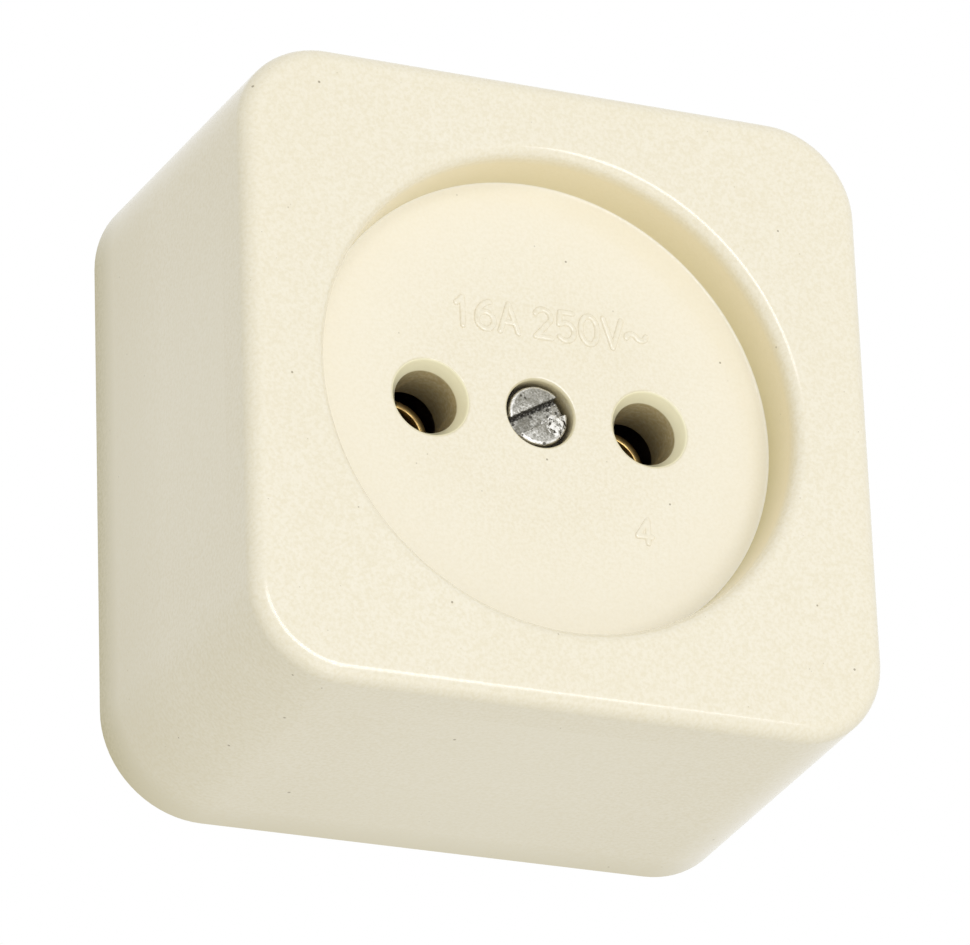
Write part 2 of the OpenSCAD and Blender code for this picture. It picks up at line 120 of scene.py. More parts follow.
class LetteringSettings(bpy.types.PropertyGroup):
    """Raised marks on the recess floor"""
    rating: StringProperty(name="Rating", description="Plain rating over the screw", default="16A 250V~")
    cavity: StringProperty(name="Cavity", description="Plain number of the mould's cavity", default="4")
    height: size("Height", "Height of a letter", 2.45 * MM)
    stroke: size("Stroke", "Width of a stroke", 0.5 * MM)
    relief: size("Relief", "How far a stroke stands out of the floor", 0.15 * MM)


class ScrewSettings(bpy.types.PropertyGroup):
    """Sizes of the cover screw"""
    slot_width: size("Slot width", "Width of the cover screw's slot", 1.5 * MM)
    slot_depth: size("Slot depth", "Depth of the cover screw's slot down to the dirt in it", 1.0 * MM)
    slot_turn: heading("Slot direction", "Direction of the slot from level", 29.5)
    crown: size("Crown", "How far the cover screw's head is crowned", 0.15 * MM)
    bevel: size("Bevel", "Bevel round the cover screw's head", 0.22 * MM)
    pitch: size("Thread pitch", "Pitch of the screw threads", 0.5 * MM)
    grain: size("Wear grain", "Size of the worn screw's facets", 0.06 * MM)


class FinishSettings(bpy.types.PropertyGroup):
    """Colours of the finishes"""
    ivory: tone("Ivory", "Main tone of the cover", (0.905, 0.85, 0.715))
    ivory_warm: tone("Ivory, warm", "Warmer clouds in the cover", (0.86, 0.79, 0.62))
    speck: tone("Specks", "Dust specks moulded into the cover", (0.20, 0.155, 0.08))
    # Painted shade: near-black laid deep in the holes, in the screw's slot and round its head; it also
    # darkens real pits in the screw's head
    grime_and_shade: tone("Grime", "Dirt deep in the holes", (0.085, 0.06, 0.026))
    # Painted shade: a brown laid on the walls of the pin holes and of the screw's hole
    bore_shade: tone("Bore stain", "Brown stain on the walls of the pin holes", (0.60, 0.48, 0.265))
    # Painted shade: a deeper yellow laid on the recess wall below its rim
    recess_shade_yellow: tone("Amber tint", "Aged tint under the rim of the recess", (0.87, 0.755, 0.48))
    # Painted light: a paler cream on the pin holes' conical mouths, standing in for light on them
    lip: tone("Hole lip", "Pale cream of the pin holes' conical mouths", (0.96, 0.915, 0.67))
    mottle: tone("Mottle", "Fine darker mottling of the ivory", (0.80, 0.725, 0.54))
    # Painted shade on the recess wall towards its foot and on the sides near the wall; also a plain
    # yellow-brown tint round the pin holes' edges and in the screw's hole
    olive_tint_and_shade: tone("Olive tint", "Aged tint in the recess and its holes", (0.60, 0.53, 0.27))
    # Painted light: a paler ivory laid on the recess floor towards its wall, for light that the wall throws
    # back
    wear_and_sheen: tone("Rubbed ivory", "Paler ivory where plugs have rubbed", (0.95, 0.90, 0.77))
    dark: tone("Dark moulding", "Main tone of the base", (0.030, 0.018, 0.012))
    dark_fleck: tone("Dark flecks", "Filler flecks in the base", (0.075, 0.045, 0.028))
    nickel: tone("Nickel", "Plating of the screws", (0.60, 0.585, 0.53))
    nickel_worn: tone("Worn nickel", "Dulled plating of the screws", (0.20, 0.19, 0.155))
    # Fresh metal where the screw's head is chewed, and partly painted highlight round its rim
    bright_nickel_and_sheen: tone("Bright nickel", "Fresh metal on edges and chewed places", (0.93, 0.91, 0.85))
    brass: tone("Brass", "Clean contact brass", (0.80, 0.56, 0.20))
    brass_tarnish: tone("Tarnish", "Browned contact brass", (0.35, 0.20, 0.07))
    spring: tone("Spring steel", "Blank spring steel", (0.40, 0.41, 0.43))
    spring_stain: tone("Spring stain", "Stains on the spring steel", (0.22, 0.20, 0.18))


class StageSettings(bpy.types.PropertyGroup):
    """Camera and studio"""
    azimuth: heading("Azimuth", "Camera's turn to the right of the socket's front", -24.56)
    elevation: heading("Elevation", "Camera's height over level", -23.53)
    roll: heading("Roll", "Camera's turn round its own axis", -2.15)
    distance: size("Distance", "Camera's distance from its target", 532.1 * MM)
    target: FloatVectorProperty(
        name="Target", description="Point that the camera looks at",
        default=(-2.525 * MM, -20 * MM, -3.205 * MM), subtype="TRANSLATION", unit="LENGTH",
    )
    lens: amount("Lens", "Focal length for a 36 mm sensor", 248.35, low=1.0)
    ambient: amount("Ambient", "Light of the studio's white walls", 0.672)
    key: amount("Key", "Power of the front lamp in watts", 1.55)
    fill: amount("Fill", "Power of the low lamp in watts", 0.6)


# Shader nodes

class Nodes:
    """A node tree that is filled from top to bottom"""

    def __init__(self, tree):
        self.tree = tree

    def feed(self, value, socket):
        """Links a socket to an input, or sets the input to a plain value"""
        if isinstance(value, bpy.types.NodeSocket):
            self.tree.links.new(value, socket)
        else:
            socket.default_value = value

    def add(self, kind, inputs=None, **props):
        node = self.tree.nodes.new(kind)
        for key, value in props.items():
            setattr(node, key, value)
        for key, value in (inputs or {}).items():
            self.feed(value, node.inputs[key])
        return node

    def math(self, operation, a, b=0.0):
        return self.add("ShaderNodeMath", {0: a, 1: b}, operation=operation).outputs[0]

    def times(self, *factors):
        """Product of all the factors"""
        product = factors[0]
        for factor in factors[1:]:
            product = self.math("MULTIPLY", product, factor)
        return product

    def parts(self, vector):
        """X, Y and Z of a vector"""
        return self.add("ShaderNodeSeparateXYZ", {"Vector": vector}).outputs

    def spread(self, value, low, high, to_low=0.0, to_high=1.0):
        inputs = {"Value": value, "From Min": low, "From Max": high, "To Min": to_low, "To Max": to_high}
        return self.add("ShaderNodeMapRange", inputs, clamp=True).outputs["Result"]

    def mix(self, share, a, b):
        """Colour a with a share of colour b, which are inputs 6 and 7 of this node"""
        return self.add("ShaderNodeMix", {"Factor": share, 6: a, 7: b}, data_type="RGBA").outputs[2]

    def over(self, colour, tone, *shares):
        """Colour with a tone laid over it, by the product of the shares"""
        return self.mix(self.times(*shares), colour, opaque(tone))

    def noise(self, vector, scale, detail=2.0, roughness=0.5):
        inputs = {"Vector": vector, "Scale": scale, "Detail": detail, "Roughness": roughness}
        return self.add("ShaderNodeTexNoise", inputs).outputs["Fac"]

    def group(self, name, inputs):
        """Outputs of a shared effect with its own inputs"""
        return self.add("ShaderNodeGroup", inputs, node_tree=shared(name)).outputs


def opaque(colour):
    return (*colour, 1.0)


def darker(colour, share):
    return [share * v for v in colour]


def effect(name, inputs, outputs):
    """Starts a shader node group with a Vector input, and returns its nodes, inputs and outputs

    An input with a number is a float, and one with None is a colour, as is an output named Color.
    """
    tree = bpy.data.node_groups.new(name, "ShaderNodeTree")
    tree.interface.new_socket("Vector", in_out="INPUT", socket_type="NodeSocketVector")
    for label, value in inputs.items():
        kind = "NodeSocketColor" if value is None else "NodeSocketFloat"
        socket = tree.interface.new_socket(label, in_out="INPUT", socket_type=kind)
        if value is not None:
            socket.default_value = value
    for label in outputs:
        kind = "NodeSocketColor" if label == "Color" else "NodeSocketFloat"
        tree.interface.new_socket(label, in_out="OUTPUT", socket_type=kind)
    nodes = Nodes(tree)
    return nodes, nodes.add("NodeGroupInput").outputs, nodes.add("NodeGroupOutput").inputs


def clouds_effect(name):
    """Soft clouds of a second tone"""
    nodes, given, result = effect(
        name, {"Scale": 60.0, "Share": 0.5, "Tone": None, "Cloud": None}, ["Color", "Mask"],
    )
    soft = nodes.noise(given["Vector"], given["Scale"], 3.0, 0.55)
    mask = nodes.times(nodes.spread(soft, 0.38, 0.68), given["Share"])
    nodes.feed(nodes.mix(mask, given["Tone"], given["Cloud"]), result["Color"])
    nodes.feed(mask, result["Mask"])


def specks_effect(name):
    """Round specks of uneven size, in a share of the cells"""
    nodes, given, result = effect(name, {"Scale": 300.0, "Size": 0.1, "Share": 0.05}, ["Mask"])
    cells = nodes.add("ShaderNodeTexVoronoi", {"Vector": given["Vector"], "Scale": given["Scale"]})
    pick = nodes.add("ShaderNodeSeparateColor", {"Color": cells.outputs["Color"]}).outputs
    chosen = nodes.math("LESS_THAN", pick["Red"], given["Share"])
    reach = nodes.times(given["Size"], nodes.spread(pick["Green"], 0.0, 1.0, 0.4, 1.0))
    near = nodes.math("DIVIDE", cells.outputs["Distance"], reach)
    nodes.feed(nodes.times(chosen, nodes.spread(near, 0.7, 1.1, 1.0, 0.0)), result["Mask"])


def grain_effect(name):
    """Height of a fine, slightly wavy skin"""
    nodes, given, result = effect(
        name, {"Wave Scale": 120.0, "Grain Scale": 1500.0, "Grain": 0.3}, ["Height"],
    )
    wave = nodes.noise(given["Vector"], given["Wave Scale"], 2.0)
    grain = nodes.times(nodes.noise(given["Vector"], given["Grain Scale"], 3.0), given["Grain"])
    nodes.feed(nodes.math("ADD", wave, grain), result["Height"])


def scratches_effect(name):
    """Fine scratches along the vector's first direction"""
    nodes, given, result = effect(name, {"Scale": 3000.0, "Stretch": 0.06, "Share": 0.5}, ["Mask"])
    parts = nodes.parts(given["Vector"])
    along = nodes.times(parts["X"], given["Stretch"])
    drawn = nodes.add("ShaderNodeCombineXYZ", {"X": along, "Y": parts["Y"], "Z": parts["Z"]})
    lines = nodes.noise(drawn.outputs["Vector"], given["Scale"], 4.0, 0.65)
    nodes.feed(nodes.times(nodes.spread(lines, 0.5, 0.72), given["Share"]), result["Mask"])


def ring_mask_effect(name):
    """Soft ring that faces the room, a mask along a circle for painted light and shade and for a plain tint
    """
    nodes, given, result = effect(name, {"Centre X": 0.0, "Radius": 0.02, "Width": 0.0005}, ["Mask"])
    radius = from_axis(nodes, given["Vector"], given["Centre X"])
    off = nodes.math("ABSOLUTE", nodes.math("SUBTRACT", radius, given["Radius"]))
    share = nodes.math("DIVIDE", off, given["Width"])
    nodes.feed(nodes.spread(share, 0.0, 1.0, 1.0, 0.0), result["Mask"])


def from_axis(nodes, vector, centre_x=0.0):
    """Distance from an axis that points to the room"""
    parts = nodes.parts(vector)
    across = nodes.math("SUBTRACT", parts["X"], centre_x)
    level, upright = nodes.times(across, across), nodes.times(parts["Z"], parts["Z"])
    return nodes.math("SQRT", nodes.math("ADD", level, upright))


# Depth below a bore's top at which its lip starts, so that the flat floor round it stays untinted
LIP_START = 0.04 * MM


def bore_masks_effect(name):
    """Masks down a bore that faces the room: its lip, its wall past the mouth and how deep a point lies"""
    sizes = {
        "Centre X": 0.0, "Reach": 0.003, "Top Y": 0.0, "Mouth": 0.001, "Fade": 0.001, "Depth": 0.005,
        "Patchy": 1.0,
    }
    nodes, given, result = effect(name, sizes, ["Lip", "Wall", "Deep"])
    radius = from_axis(nodes, given["Vector"], given["Centre X"])
    inside = nodes.math("LESS_THAN", radius, given["Reach"])
    below = nodes.math("SUBTRACT", nodes.parts(given["Vector"])["Y"], given["Top Y"])
    lip = nodes.math("GREATER_THAN", below, LIP_START)
    past_mouth = nodes.math("SUBTRACT", below, given["Mouth"])
    wall = nodes.spread(nodes.math("DIVIDE", past_mouth, given["Fade"]), 0.0, 1.0)
    deep = nodes.spread(nodes.math("DIVIDE", past_mouth, given["Depth"]), 0.0, 1.0)
    nodes.feed(nodes.times(inside, lip), result["Lip"])
    nodes.feed(nodes.times(inside, wall, given["Patchy"]), result["Wall"])
    nodes.feed(nodes.times(inside, deep), result["Deep"])


EFFECT_MAKERS = {
    "bore_masks": bore_masks_effect,
    "clouds": clouds_effect,
    "specks": specks_effect,
    "skin_grain": grain_effect,
    "scratches": scratches_effect,
    "ring_mask": ring_mask_effect,
}


def shared(name):
    """The named effect, built once"""
    if name not in bpy.data.node_groups:
        EFFECT_MAKERS[name](name)
    return bpy.data.node_groups[name]


def start_material(name):
    """Empty material with a Principled shader, its nodes and the object's own coordinates"""
    material = bpy.data.materials.new(name)
    material.use_nodes = True
    tree = material.node_tree
    tree.nodes.clear()
    nodes = Nodes(tree)
    shader = nodes.add("ShaderNodeBsdfPrincipled")
    output = nodes.add("ShaderNodeOutputMaterial")
    tree.links.new(shader.outputs["BSDF"], output.inputs["Surface"])
    place = nodes.add("ShaderNodeTexCoord").outputs["Object"]
    return material, nodes, shader, place


def dress(nodes, shader, colour, roughness, height, strength, depth):
    """Gives a shader its colour, its roughness and a bump of the given depth"""
    relief = nodes.add("ShaderNodeBump", {"Height": height, "Strength": strength, "Distance": depth})
    nodes.feed(colour, shader.inputs["Base Color"])
    nodes.feed(roughness, shader.inputs["Roughness"])
    nodes.feed(relief.outputs["Normal"], shader.inputs["Normal"])


def clouded(nodes, place, scale, share, tone_in, cloud):
    """Colour with soft clouds of another, and the mask of the clouds"""
    made = nodes.group("clouds", {
        "Vector": place, "Scale": scale, "Share": share, "Tone": tone_in, "Cloud": opaque(cloud),
    })
    return made["Color"], made["Mask"]


def turned(nodes, place, turn):
    """Coordinates turned round the axis that points to the room"""
    return nodes.add("ShaderNodeMapping", {"Vector": place, "Rotation": (0.0, turn, 0.0)}).outputs[0]


def recess_light_and_shade(nodes, colour, finish, cover, place, spot):
    """Painted light and shade in the recess: a paler floor towards its wall for light thrown back by the
    wall, and painted shade on the recess wall, a deeper yellow below its rim that grows darker towards its
    foot and weaker towards its top
    """
    inwards = nodes.math("ADD", spot["Y"], cover.depth)
    # Painted light: the floor gets paler towards the wall, for light that the wall throws back on it
    disc = nodes.group("ring_mask", {"Vector": place, "Radius": cover.recess_radius, "Width": 11.0 * MM})
    on_floor = nodes.math("GREATER_THAN", inwards, cover.recess_depth - 0.25 * MM)
    colour = nodes.over(colour, finish.wear_and_sheen, disc["Mask"], on_floor, 0.75)
    # Painted shade: a deeper yellow on the recess wall below its rim, for light thrown about inside the
    # recess
    wall = nodes.group("ring_mask", {
        "Vector": place, "Radius": cover.recess_radius + 0.15 * MM, "Width": 6.0 * MM,
    })
    above_floor = nodes.math("LESS_THAN", inwards, cover.recess_depth - 0.1 * MM)
    on_wall = nodes.times(wall["Mask"], above_floor)
    under_rim = nodes.spread(inwards, 0.6 * MM, 1.6 * MM, 0.0, 0.75)
    colour = nodes.over(colour, finish.recess_shade_yellow, on_wall, under_rim)
    # Painted shade: darker towards the foot of the recess wall, weaker towards the recess's top where the
    # lamps light the wall more, and stronger low down
    to_foot = nodes.spread(inwards, 1.8 * MM, cover.recess_depth, 0.0, 0.72)
    low_down = nodes.spread(spot["Z"], -cover.recess_radius, cover.recess_radius, 1.5, 0.5)
    return nodes.over(colour, finish.olive_tint_and_shade, on_wall, to_foot, low_down)


def moulded_specks(nodes, colour, finish, place):
    """Dust specks in the ivory, some large ones and some small and fainter ones"""
    large = nodes.group("specks", {"Vector": place, "Scale": 380.0, "Size": 0.066, "Share": 0.55})
    small = nodes.group("specks", {"Vector": place, "Scale": 900.0, "Size": 0.07, "Share": 0.25})
    dots = nodes.math("MAXIMUM", large["Mask"], nodes.times(small["Mask"], 0.45))
    return nodes.over(colour, finish.speck, dots, 0.68)


def hole_light_and_shade(nodes, colour, finish, cover, place, patchy):
    """Painted light and shade in the pin holes and the screw's hole: paler cream cones in the pin holes, a
    yellow-brown ring round their edges and tint in the screw's hole, and painted shade down the walls,
    darker deeper in
    """
    floor_y = cover.recess_depth - cover.depth
    pins = [side * cover.pitch / 2 for side in SIDES.values()]
    for x in pins:
        edge = nodes.group("ring_mask", {
            "Vector": place, "Centre X": x, "Radius": cover.mouth_radius + 0.16 * MM, "Width": 0.16 * MM,
        })
        colour = nodes.over(colour, finish.olive_tint_and_shade, edge["Mask"], 0.4)
    pin_hole = {"Reach": 3.5 * MM, "Mouth": cover.mouth_depth, "Fade": 0.12 * MM, "Depth": cover.collar}
    screw_hole = {"Reach": 3.3 * MM, "Mouth": 0.3 * MM, "Fade": 1.0 * MM, "Depth": 2.4 * MM}
    # Painted light: the pin holes' cones get a paler cream; the screw's hole gets a yellow-brown tint in its
    # place
    bores = [(x, pin_hole, finish.lip, 0.85, 0.9) for x in pins]
    bores.append((0.0, screw_hole, finish.olive_tint_and_shade, 0.5, 0.75))
    for x, sizes, lip, lip_share, wall_share in bores:
        depth_masks = nodes.group("bore_masks", {
            "Vector": place, "Centre X": x, "Top Y": floor_y, "Patchy": patchy, **sizes,
        })
        colour = nodes.over(colour, lip, depth_masks["Lip"], lip_share)
        # Painted shade: brown down each hole's wall past its mouth, patchy, and near-black deeper in
        colour = nodes.over(colour, finish.bore_shade, depth_masks["Wall"], wall_share)
        colour = nodes.over(colour, finish.grime_and_shade, depth_masks["Deep"], 0.85)
    return colour


def wall_edge_shade(nodes, colour, finish, spot, patchy):
    """Painted shade where the cover meets the wall, darker towards it and weaker on its underside"""
    # Painted shade: a darker yellow-brown that grows towards the wall, weaker on the underside
    close = nodes.spread(spot["Y"], -4.0 * MM, 0.0, 0.0, 0.78)
    near = nodes.spread(spot["Y"], -14.0 * MM, -4.0 * MM, 0.0, 0.2)
    off_underside = nodes.spread(spot["Z"], COVER_LOW.z, COVER_LOW.z + 6.0 * MM, 0.4, 1.0)
    share = nodes.times(nodes.math("ADD", close, near), off_underside, patchy)
    return nodes.over(colour, darker(finish.olive_tint_and_shade, 0.85), share)


def ivory_material(finish, cover):
    """Glossy ivory moulding, a little clouded and specked, with painted light and shade in its recess and
    holes and painted shade where it meets the wall
    """
    material, nodes, shader, place = start_material("aged_ivory")
    colour = opaque(finish.ivory)
    colour, _ = clouded(nodes, place, 55.0, 0.2, colour, finish.ivory_warm)
    colour, _ = clouded(nodes, place, 800.0, 0.2, colour, finish.ivory_warm)
    colour, mottled = clouded(nodes, place, 3400.0, 0.6, colour, finish.mottle)
    patchy = nodes.spread(mottled, 0.0, 0.6, 1.0, 0.65)
    spot = nodes.parts(place)
    colour = recess_light_and_shade(nodes, colour, finish, cover, place, spot)
    colour = moulded_specks(nodes, colour, finish, place)
    colour = hole_light_and_shade(nodes, colour, finish, cover, place, patchy)
    colour = wall_edge_shade(nodes, colour, finish, spot, patchy)
    roughness = nodes.spread(patchy, 0.7, 1.0, 0.2, 0.14)
    grain = nodes.group("skin_grain", {
        "Vector": place, "Wave Scale": 220.0, "Grain Scale": 1500.0, "Grain": 0.16,
    })
    dress(nodes, shader, colour, roughness, grain["Height"], 0.25, 0.05 * MM)
    shader.inputs["IOR"].default_value = 1.5
    shader.inputs["Specular IOR Level"].default_value = 0.75
    return material


def dark_material(finish):
    """Dark brown moulding with filler flecks"""
    material, nodes, shader, place = start_material("brown_moulding")
    colour, _ = clouded(nodes, place, 600.0, 0.3, opaque(finish.dark), finish.dark_fleck)
    flecks = nodes.group("specks", {"Vector": place, "Scale": 900.0, "Size": 0.35, "Share": 0.22})
    colour = nodes.over(colour, finish.dark_fleck, flecks["Mask"], 0.5)
    grain = nodes.group("skin_grain", {
        "Vector": place, "Wave Scale": 200.0, "Grain Scale": 2200.0, "Grain": 0.5,
    })
    roughness = nodes.spread(grain["Height"], 0.4, 1.0, 0.34, 0.52)
    dress(nodes, shader, colour, roughness, grain["Height"], 0.35, 0.05 * MM)
    return material


def metal_material(name, clean, worn, turn, roughness, scratch, cloud_scale):
    """Metal with dulled clouds and scratches along one direction"""
    material, nodes, shader, place = start_material(name)
    lines = nodes.group("scratches", {
        "Vector": turned(nodes, place, turn), "Scale": 2600.0, "Stretch": 0.08, "Share": scratch,
    })
    pits = nodes.group("specks", {"Vector": place, "Scale": 3600.0, "Size": 0.4, "Share": 0.1})
    colour, dulled = clouded(nodes, place, cloud_scale, 0.85, opaque(clean), worn)
    colour = nodes.over(colour, darker(worn, 0.25), pits["Mask"], 0.7)
    colour = nodes.over(colour, worn, lines["Mask"], 0.35)
    rough = nodes.math("ADD", roughness, nodes.times(dulled, 0.22))
    height = nodes.times(nodes.math("ADD", lines["Mask"], pits["Mask"]), -1.0)
    dress(nodes, shader, colour, rough, height, 0.5, 0.02 * MM)
    shader.inputs["Metallic"].default_value = 1.0
    return material


# Way from the screw's chewed place back to its axis, with X along the slot
CHEWED_TO_AXIS = (-1.25 * MM, 0.0, 1.35 * MM)


def worn_nickel_material(finish, screw, head_top, head_radius):
    """Nickel of the cover screw: chewed and streaked along its slot, with painted shadow in its slot and
    down the sides of its head, and a worn rim that is partly painted highlight
    """
    material, nodes, shader, place = start_material("worn_nickel")
    by_slot = turned(nodes, place, screw.slot_turn)
    spot = nodes.parts(by_slot)
    half = screw.slot_width / 2
    below = nodes.math("SUBTRACT", spot["Y"], head_top)

    grey, _ = clouded(nodes, place, 1300.0, 0.9, opaque(finish.nickel), finish.nickel_worn)
    grey, _ = clouded(nodes, place, 5200.0, 0.85, grey, finish.nickel_worn)
    lines = nodes.group("scratches", {"Vector": by_slot, "Scale": 6000.0, "Stretch": 0.14, "Share": 1.0})
    grey = nodes.over(grey, finish.nickel_worn, lines["Mask"], 0.55)

    # Worn rim of the head in bright metal, partly a painted highlight laid all round it
    rim = nodes.spread(from_axis(nodes, by_slot), head_radius - 0.34 * MM, head_radius - 0.2 * MM)
    on_head = nodes.math("LESS_THAN", below, 0.5 * MM)
    uneven = nodes.spread(nodes.noise(place, 1500.0, 3.0), 0.3, 0.6, 0.35, 1.0)
    wear_and_sheen = nodes.times(rim, on_head, uneven)
    from_chewed = nodes.add("ShaderNodeVectorMath", {0: by_slot, 1: CHEWED_TO_AXIS}).outputs[0]
    chewed = nodes.group("bore_masks", {
        "Vector": from_chewed, "Reach": 1.2 * MM, "Top Y": head_top - 1.0 * MM,
        "Mouth": 0.1 * MM, "Fade": 0.1 * MM,
    })["Wall"]
    blotches = nodes.times(chewed, nodes.spread(nodes.noise(place, 2300.0, 3.0, 0.6), 0.44, 0.52))
    grey = nodes.over(grey, finish.bright_nickel_and_sheen, nodes.math("MAXIMUM", wear_and_sheen, blotches), 0.85)

    pits = nodes.group("specks", {"Vector": place, "Scale": 2600.0, "Size": 0.42, "Share": 0.16})
    holes = nodes.times(chewed, nodes.spread(nodes.noise(place, 2900.0, 2.0, 0.6), 0.57, 0.62))
    dark = nodes.math("MAXIMUM", nodes.times(pits["Mask"], 0.75), holes)
    grey = nodes.over(grey, darker(finish.grime_and_shade, 0.3), dark)

    # Painted shadow: near-black on the slot's upper wall and the slot floor next to it, ragged and broken
    ragged = nodes.spread(nodes.noise(by_slot, 3300.0, 4.0, 0.7), 0.3, 0.7, -0.14 * MM, 0.14 * MM)
    from_edge = nodes.math("ADD", spot["Z"], ragged)
    at_wall = nodes.spread(from_edge, half - 0.34 * MM, half - 0.22 * MM)
    in_slot = nodes.math("LESS_THAN", spot["Z"], half + 0.1 * MM)
    broken = nodes.spread(nodes.noise(by_slot, 4200.0, 3.0, 0.6), 0.36, 0.5, 0.25, 1.0)
    slot_shadow = nodes.times(at_wall, in_slot, broken, nodes.spread(below, 0.12 * MM, 0.3 * MM))
    grey = nodes.over(grey, darker(finish.grime_and_shade, 0.12), slot_shadow, 0.98)
    # Painted shade: the sides of the head darken deep in its hole, off the slot
    off_slot = nodes.math("GREATER_THAN", nodes.math("ABSOLUTE", spot["Z"]), half)
    side_shade = nodes.times(nodes.spread(below, 0.75 * MM, 1.1 * MM, 0.0, 0.9), off_slot)
    grey = nodes.over(grey, darker(finish.grime_and_shade, 0.4), side_shade)

    # Pits and the painted shade and shadow also lose their metal and grow rougher
    pits_and_shade = nodes.math("MAXIMUM", nodes.math("MAXIMUM", slot_shadow, dark), side_shade)
    nodes.feed(nodes.math("SUBTRACT", 1.0, nodes.times(pits_and_shade, 0.9)), shader.inputs["Metallic"])
    rough = nodes.spread(nodes.noise(place, 3800.0, 4.0, 0.6), 0.3, 0.7, 0.24, 0.5)
    rough = nodes.math("ADD", rough, nodes.times(pits_and_shade, 0.4))
    hollow = nodes.math("ADD", nodes.times(lines["Mask"], 0.35), dark)
    height = nodes.math("SUBTRACT", nodes.noise(place, 2400.0, 5.0, 0.65), hollow)
    dress(nodes, shader, grey, rough, height, 0.8, 0.07 * MM)
    return material


def make_finish(name):
    """Builds the named finish from the settings"""
    finish = bpy.context.scene.socket_finish
    screw = bpy.context.scene.socket_screw
    if name == "aged_ivory":
        return ivory_material(finish, bpy.context.scene.socket_cover)
    if name == "brown_moulding":
        return dark_material(finish)
    if name == "worn_nickel":
        return worn_nickel_material(finish, screw, SCREW_LOW.y, (SCREW_HIGH.x - SCREW_LOW.x) / 2)
    if name == "dulled_nickel":
        return metal_material(
            name, finish.nickel, finish.nickel_worn, turn=screw.slot_turn,
            roughness=0.26, scratch=0.9, cloud_scale=900.0,
        )
    if name == "tarnished_brass":
        return metal_material(
            name, finish.brass, finish.brass_tarnish, turn=0.0,
            roughness=0.3, scratch=0.4, cloud_scale=500.0,
        )
    return metal_material(
        name, finish.spring, finish.spring_stain, turn=0.0,
        roughness=0.3, scratch=0.5, cloud_scale=700.0,
    )


def finish_named(name):
    """The named finish, built once"""
    return bpy.data.materials.get(name) or make_finish(name)


SLOT_FINISHES = {
    "ivory_moulding": "aged_ivory",
    "dark_moulding": "brown_moulding",
    "plated_screw": "dulled_nickel",
    "spring_steel": "blank_spring",
    "contact_brass": "tarnished_brass",
}


# Mesh building

# Faces along a rounded corner and along a straight side of the cover, and round a turned mesh
CORNER_STEPS = 18
SIDE_STEPS = 30
ROUND_STEPS = 96
# How far a cutting tool reaches past what it cuts
OVER = 1.0 * MM


def placed(name, data):
    """New object in the scene"""
    made = bpy.data.objects.new(name, data)
    bpy.context.scene.collection.objects.link(made)
    return made


def evaluated_mesh(made):
    """Mesh of an object with its modifiers taken up"""
    bpy.context.view_layer.update()
    graph = bpy.context.evaluated_depsgraph_get()
    return bpy.data.meshes.new_from_object(made.evaluated_get(graph), depsgraph=graph)


def object_from(name, mesh):
    """New object with a bmesh's faces, which takes the bmesh up"""
    data = bpy.data.meshes.new(name)
    mesh.to_mesh(data)
    mesh.free()
    return placed(name, data)


def arc(centre, radius, start, end, steps):
    """Points of an arc, as (radius, height) pairs"""
    angles = [math.radians(start + (end - start) * i / steps) for i in range(steps + 1)]
    return [(centre[0] + radius * math.cos(a), centre[1] + radius * math.sin(a)) for a in angles]


def square_loop(at, radius, height):
    """Rounded square that faces the room, with its corner centres at the given distance"""
    points = []
    for quarter in range(4):
        turn = Matrix.Rotation(math.radians(90 * quarter), 2)
        corner = [Vector(p) for p in arc((at, at), radius, 0, 90, CORNER_STEPS)]
        side = [Vector((at - 2 * at * i / SIDE_STEPS, at + radius)) for i in range(1, SIDE_STEPS)]
        points += [turn @ p for p in corner + side]
    return [Vector((p.x, -height, p.y)) for p in points]


def circle_like(loop, radius, height):
    """Circle round the origin whose points lie in the directions of another loop's"""
    return [
        Vector((radius * p.x, 0.0, radius * p.z)) / math.hypot(p.x, p.z) - Vector((0.0, height, 0.0))
        for p in loop
    ]


def circle_loop(x, z, radius, height, steps):
    turns = [2 * math.pi * i / steps for i in range(steps)]
    return [Vector((x + radius * math.cos(a), -height, z + radius * math.sin(a))) for a in turns]


def skin_mesh(name, loops, ring=False):
    """Closed mesh over loops of as many points, with flat ends, or joined end to end"""
    mesh = bmesh.new()
    rows = [[mesh.verts.new(p) for p in loop] for loop in loops]
    pairs = list(zip(rows, rows[1:] + rows[:1])) if ring else list(zip(rows, rows[1:]))
    for low, high in pairs:
        for i in range(len(low)):
            j = (i + 1) % len(low)
            mesh.faces.new((low[i], low[j], high[j], high[i]))
    if not ring:
        mesh.faces.new(rows[0])
        mesh.faces.new(rows[-1])
    bmesh.ops.recalc_face_normals(mesh, faces=mesh.faces)
    return object_from(name, mesh)


def revolved(name, profile, x=0.0, z=0.0, steps=ROUND_STEPS, ring=False):
    """Turned mesh with its axis towards the room, from (radius, height) pairs"""
    return skin_mesh(name, [circle_loop(x, z, r, h, steps) for r, h in profile], ring)


def rod(name, radius, low, high, x=0.0, steps=ROUND_STEPS):
    """Plain rod towards the room, used only to cut or to join"""
    return revolved(name, [(radius, low), (radius, high)], x=x, steps=steps)


def slab(name, low, high):
    """Plain block between two corners, used only to cut or to join"""
    loop = [(low[0], low[2]), (high[0], low[2]), (high[0], high[2]), (low[0], high[2])]
    return skin_mesh(name, [[Vector((x, y, z)) for x, z in loop] for y in (low[1], high[1])])


def settle(made):
    """Takes up the object's modifiers and leaves a plain mesh"""
    plain = evaluated_mesh(made)
    made.modifiers.clear()
    old = made.data
    made.data = plain
    bpy.data.meshes.remove(old)
    return made


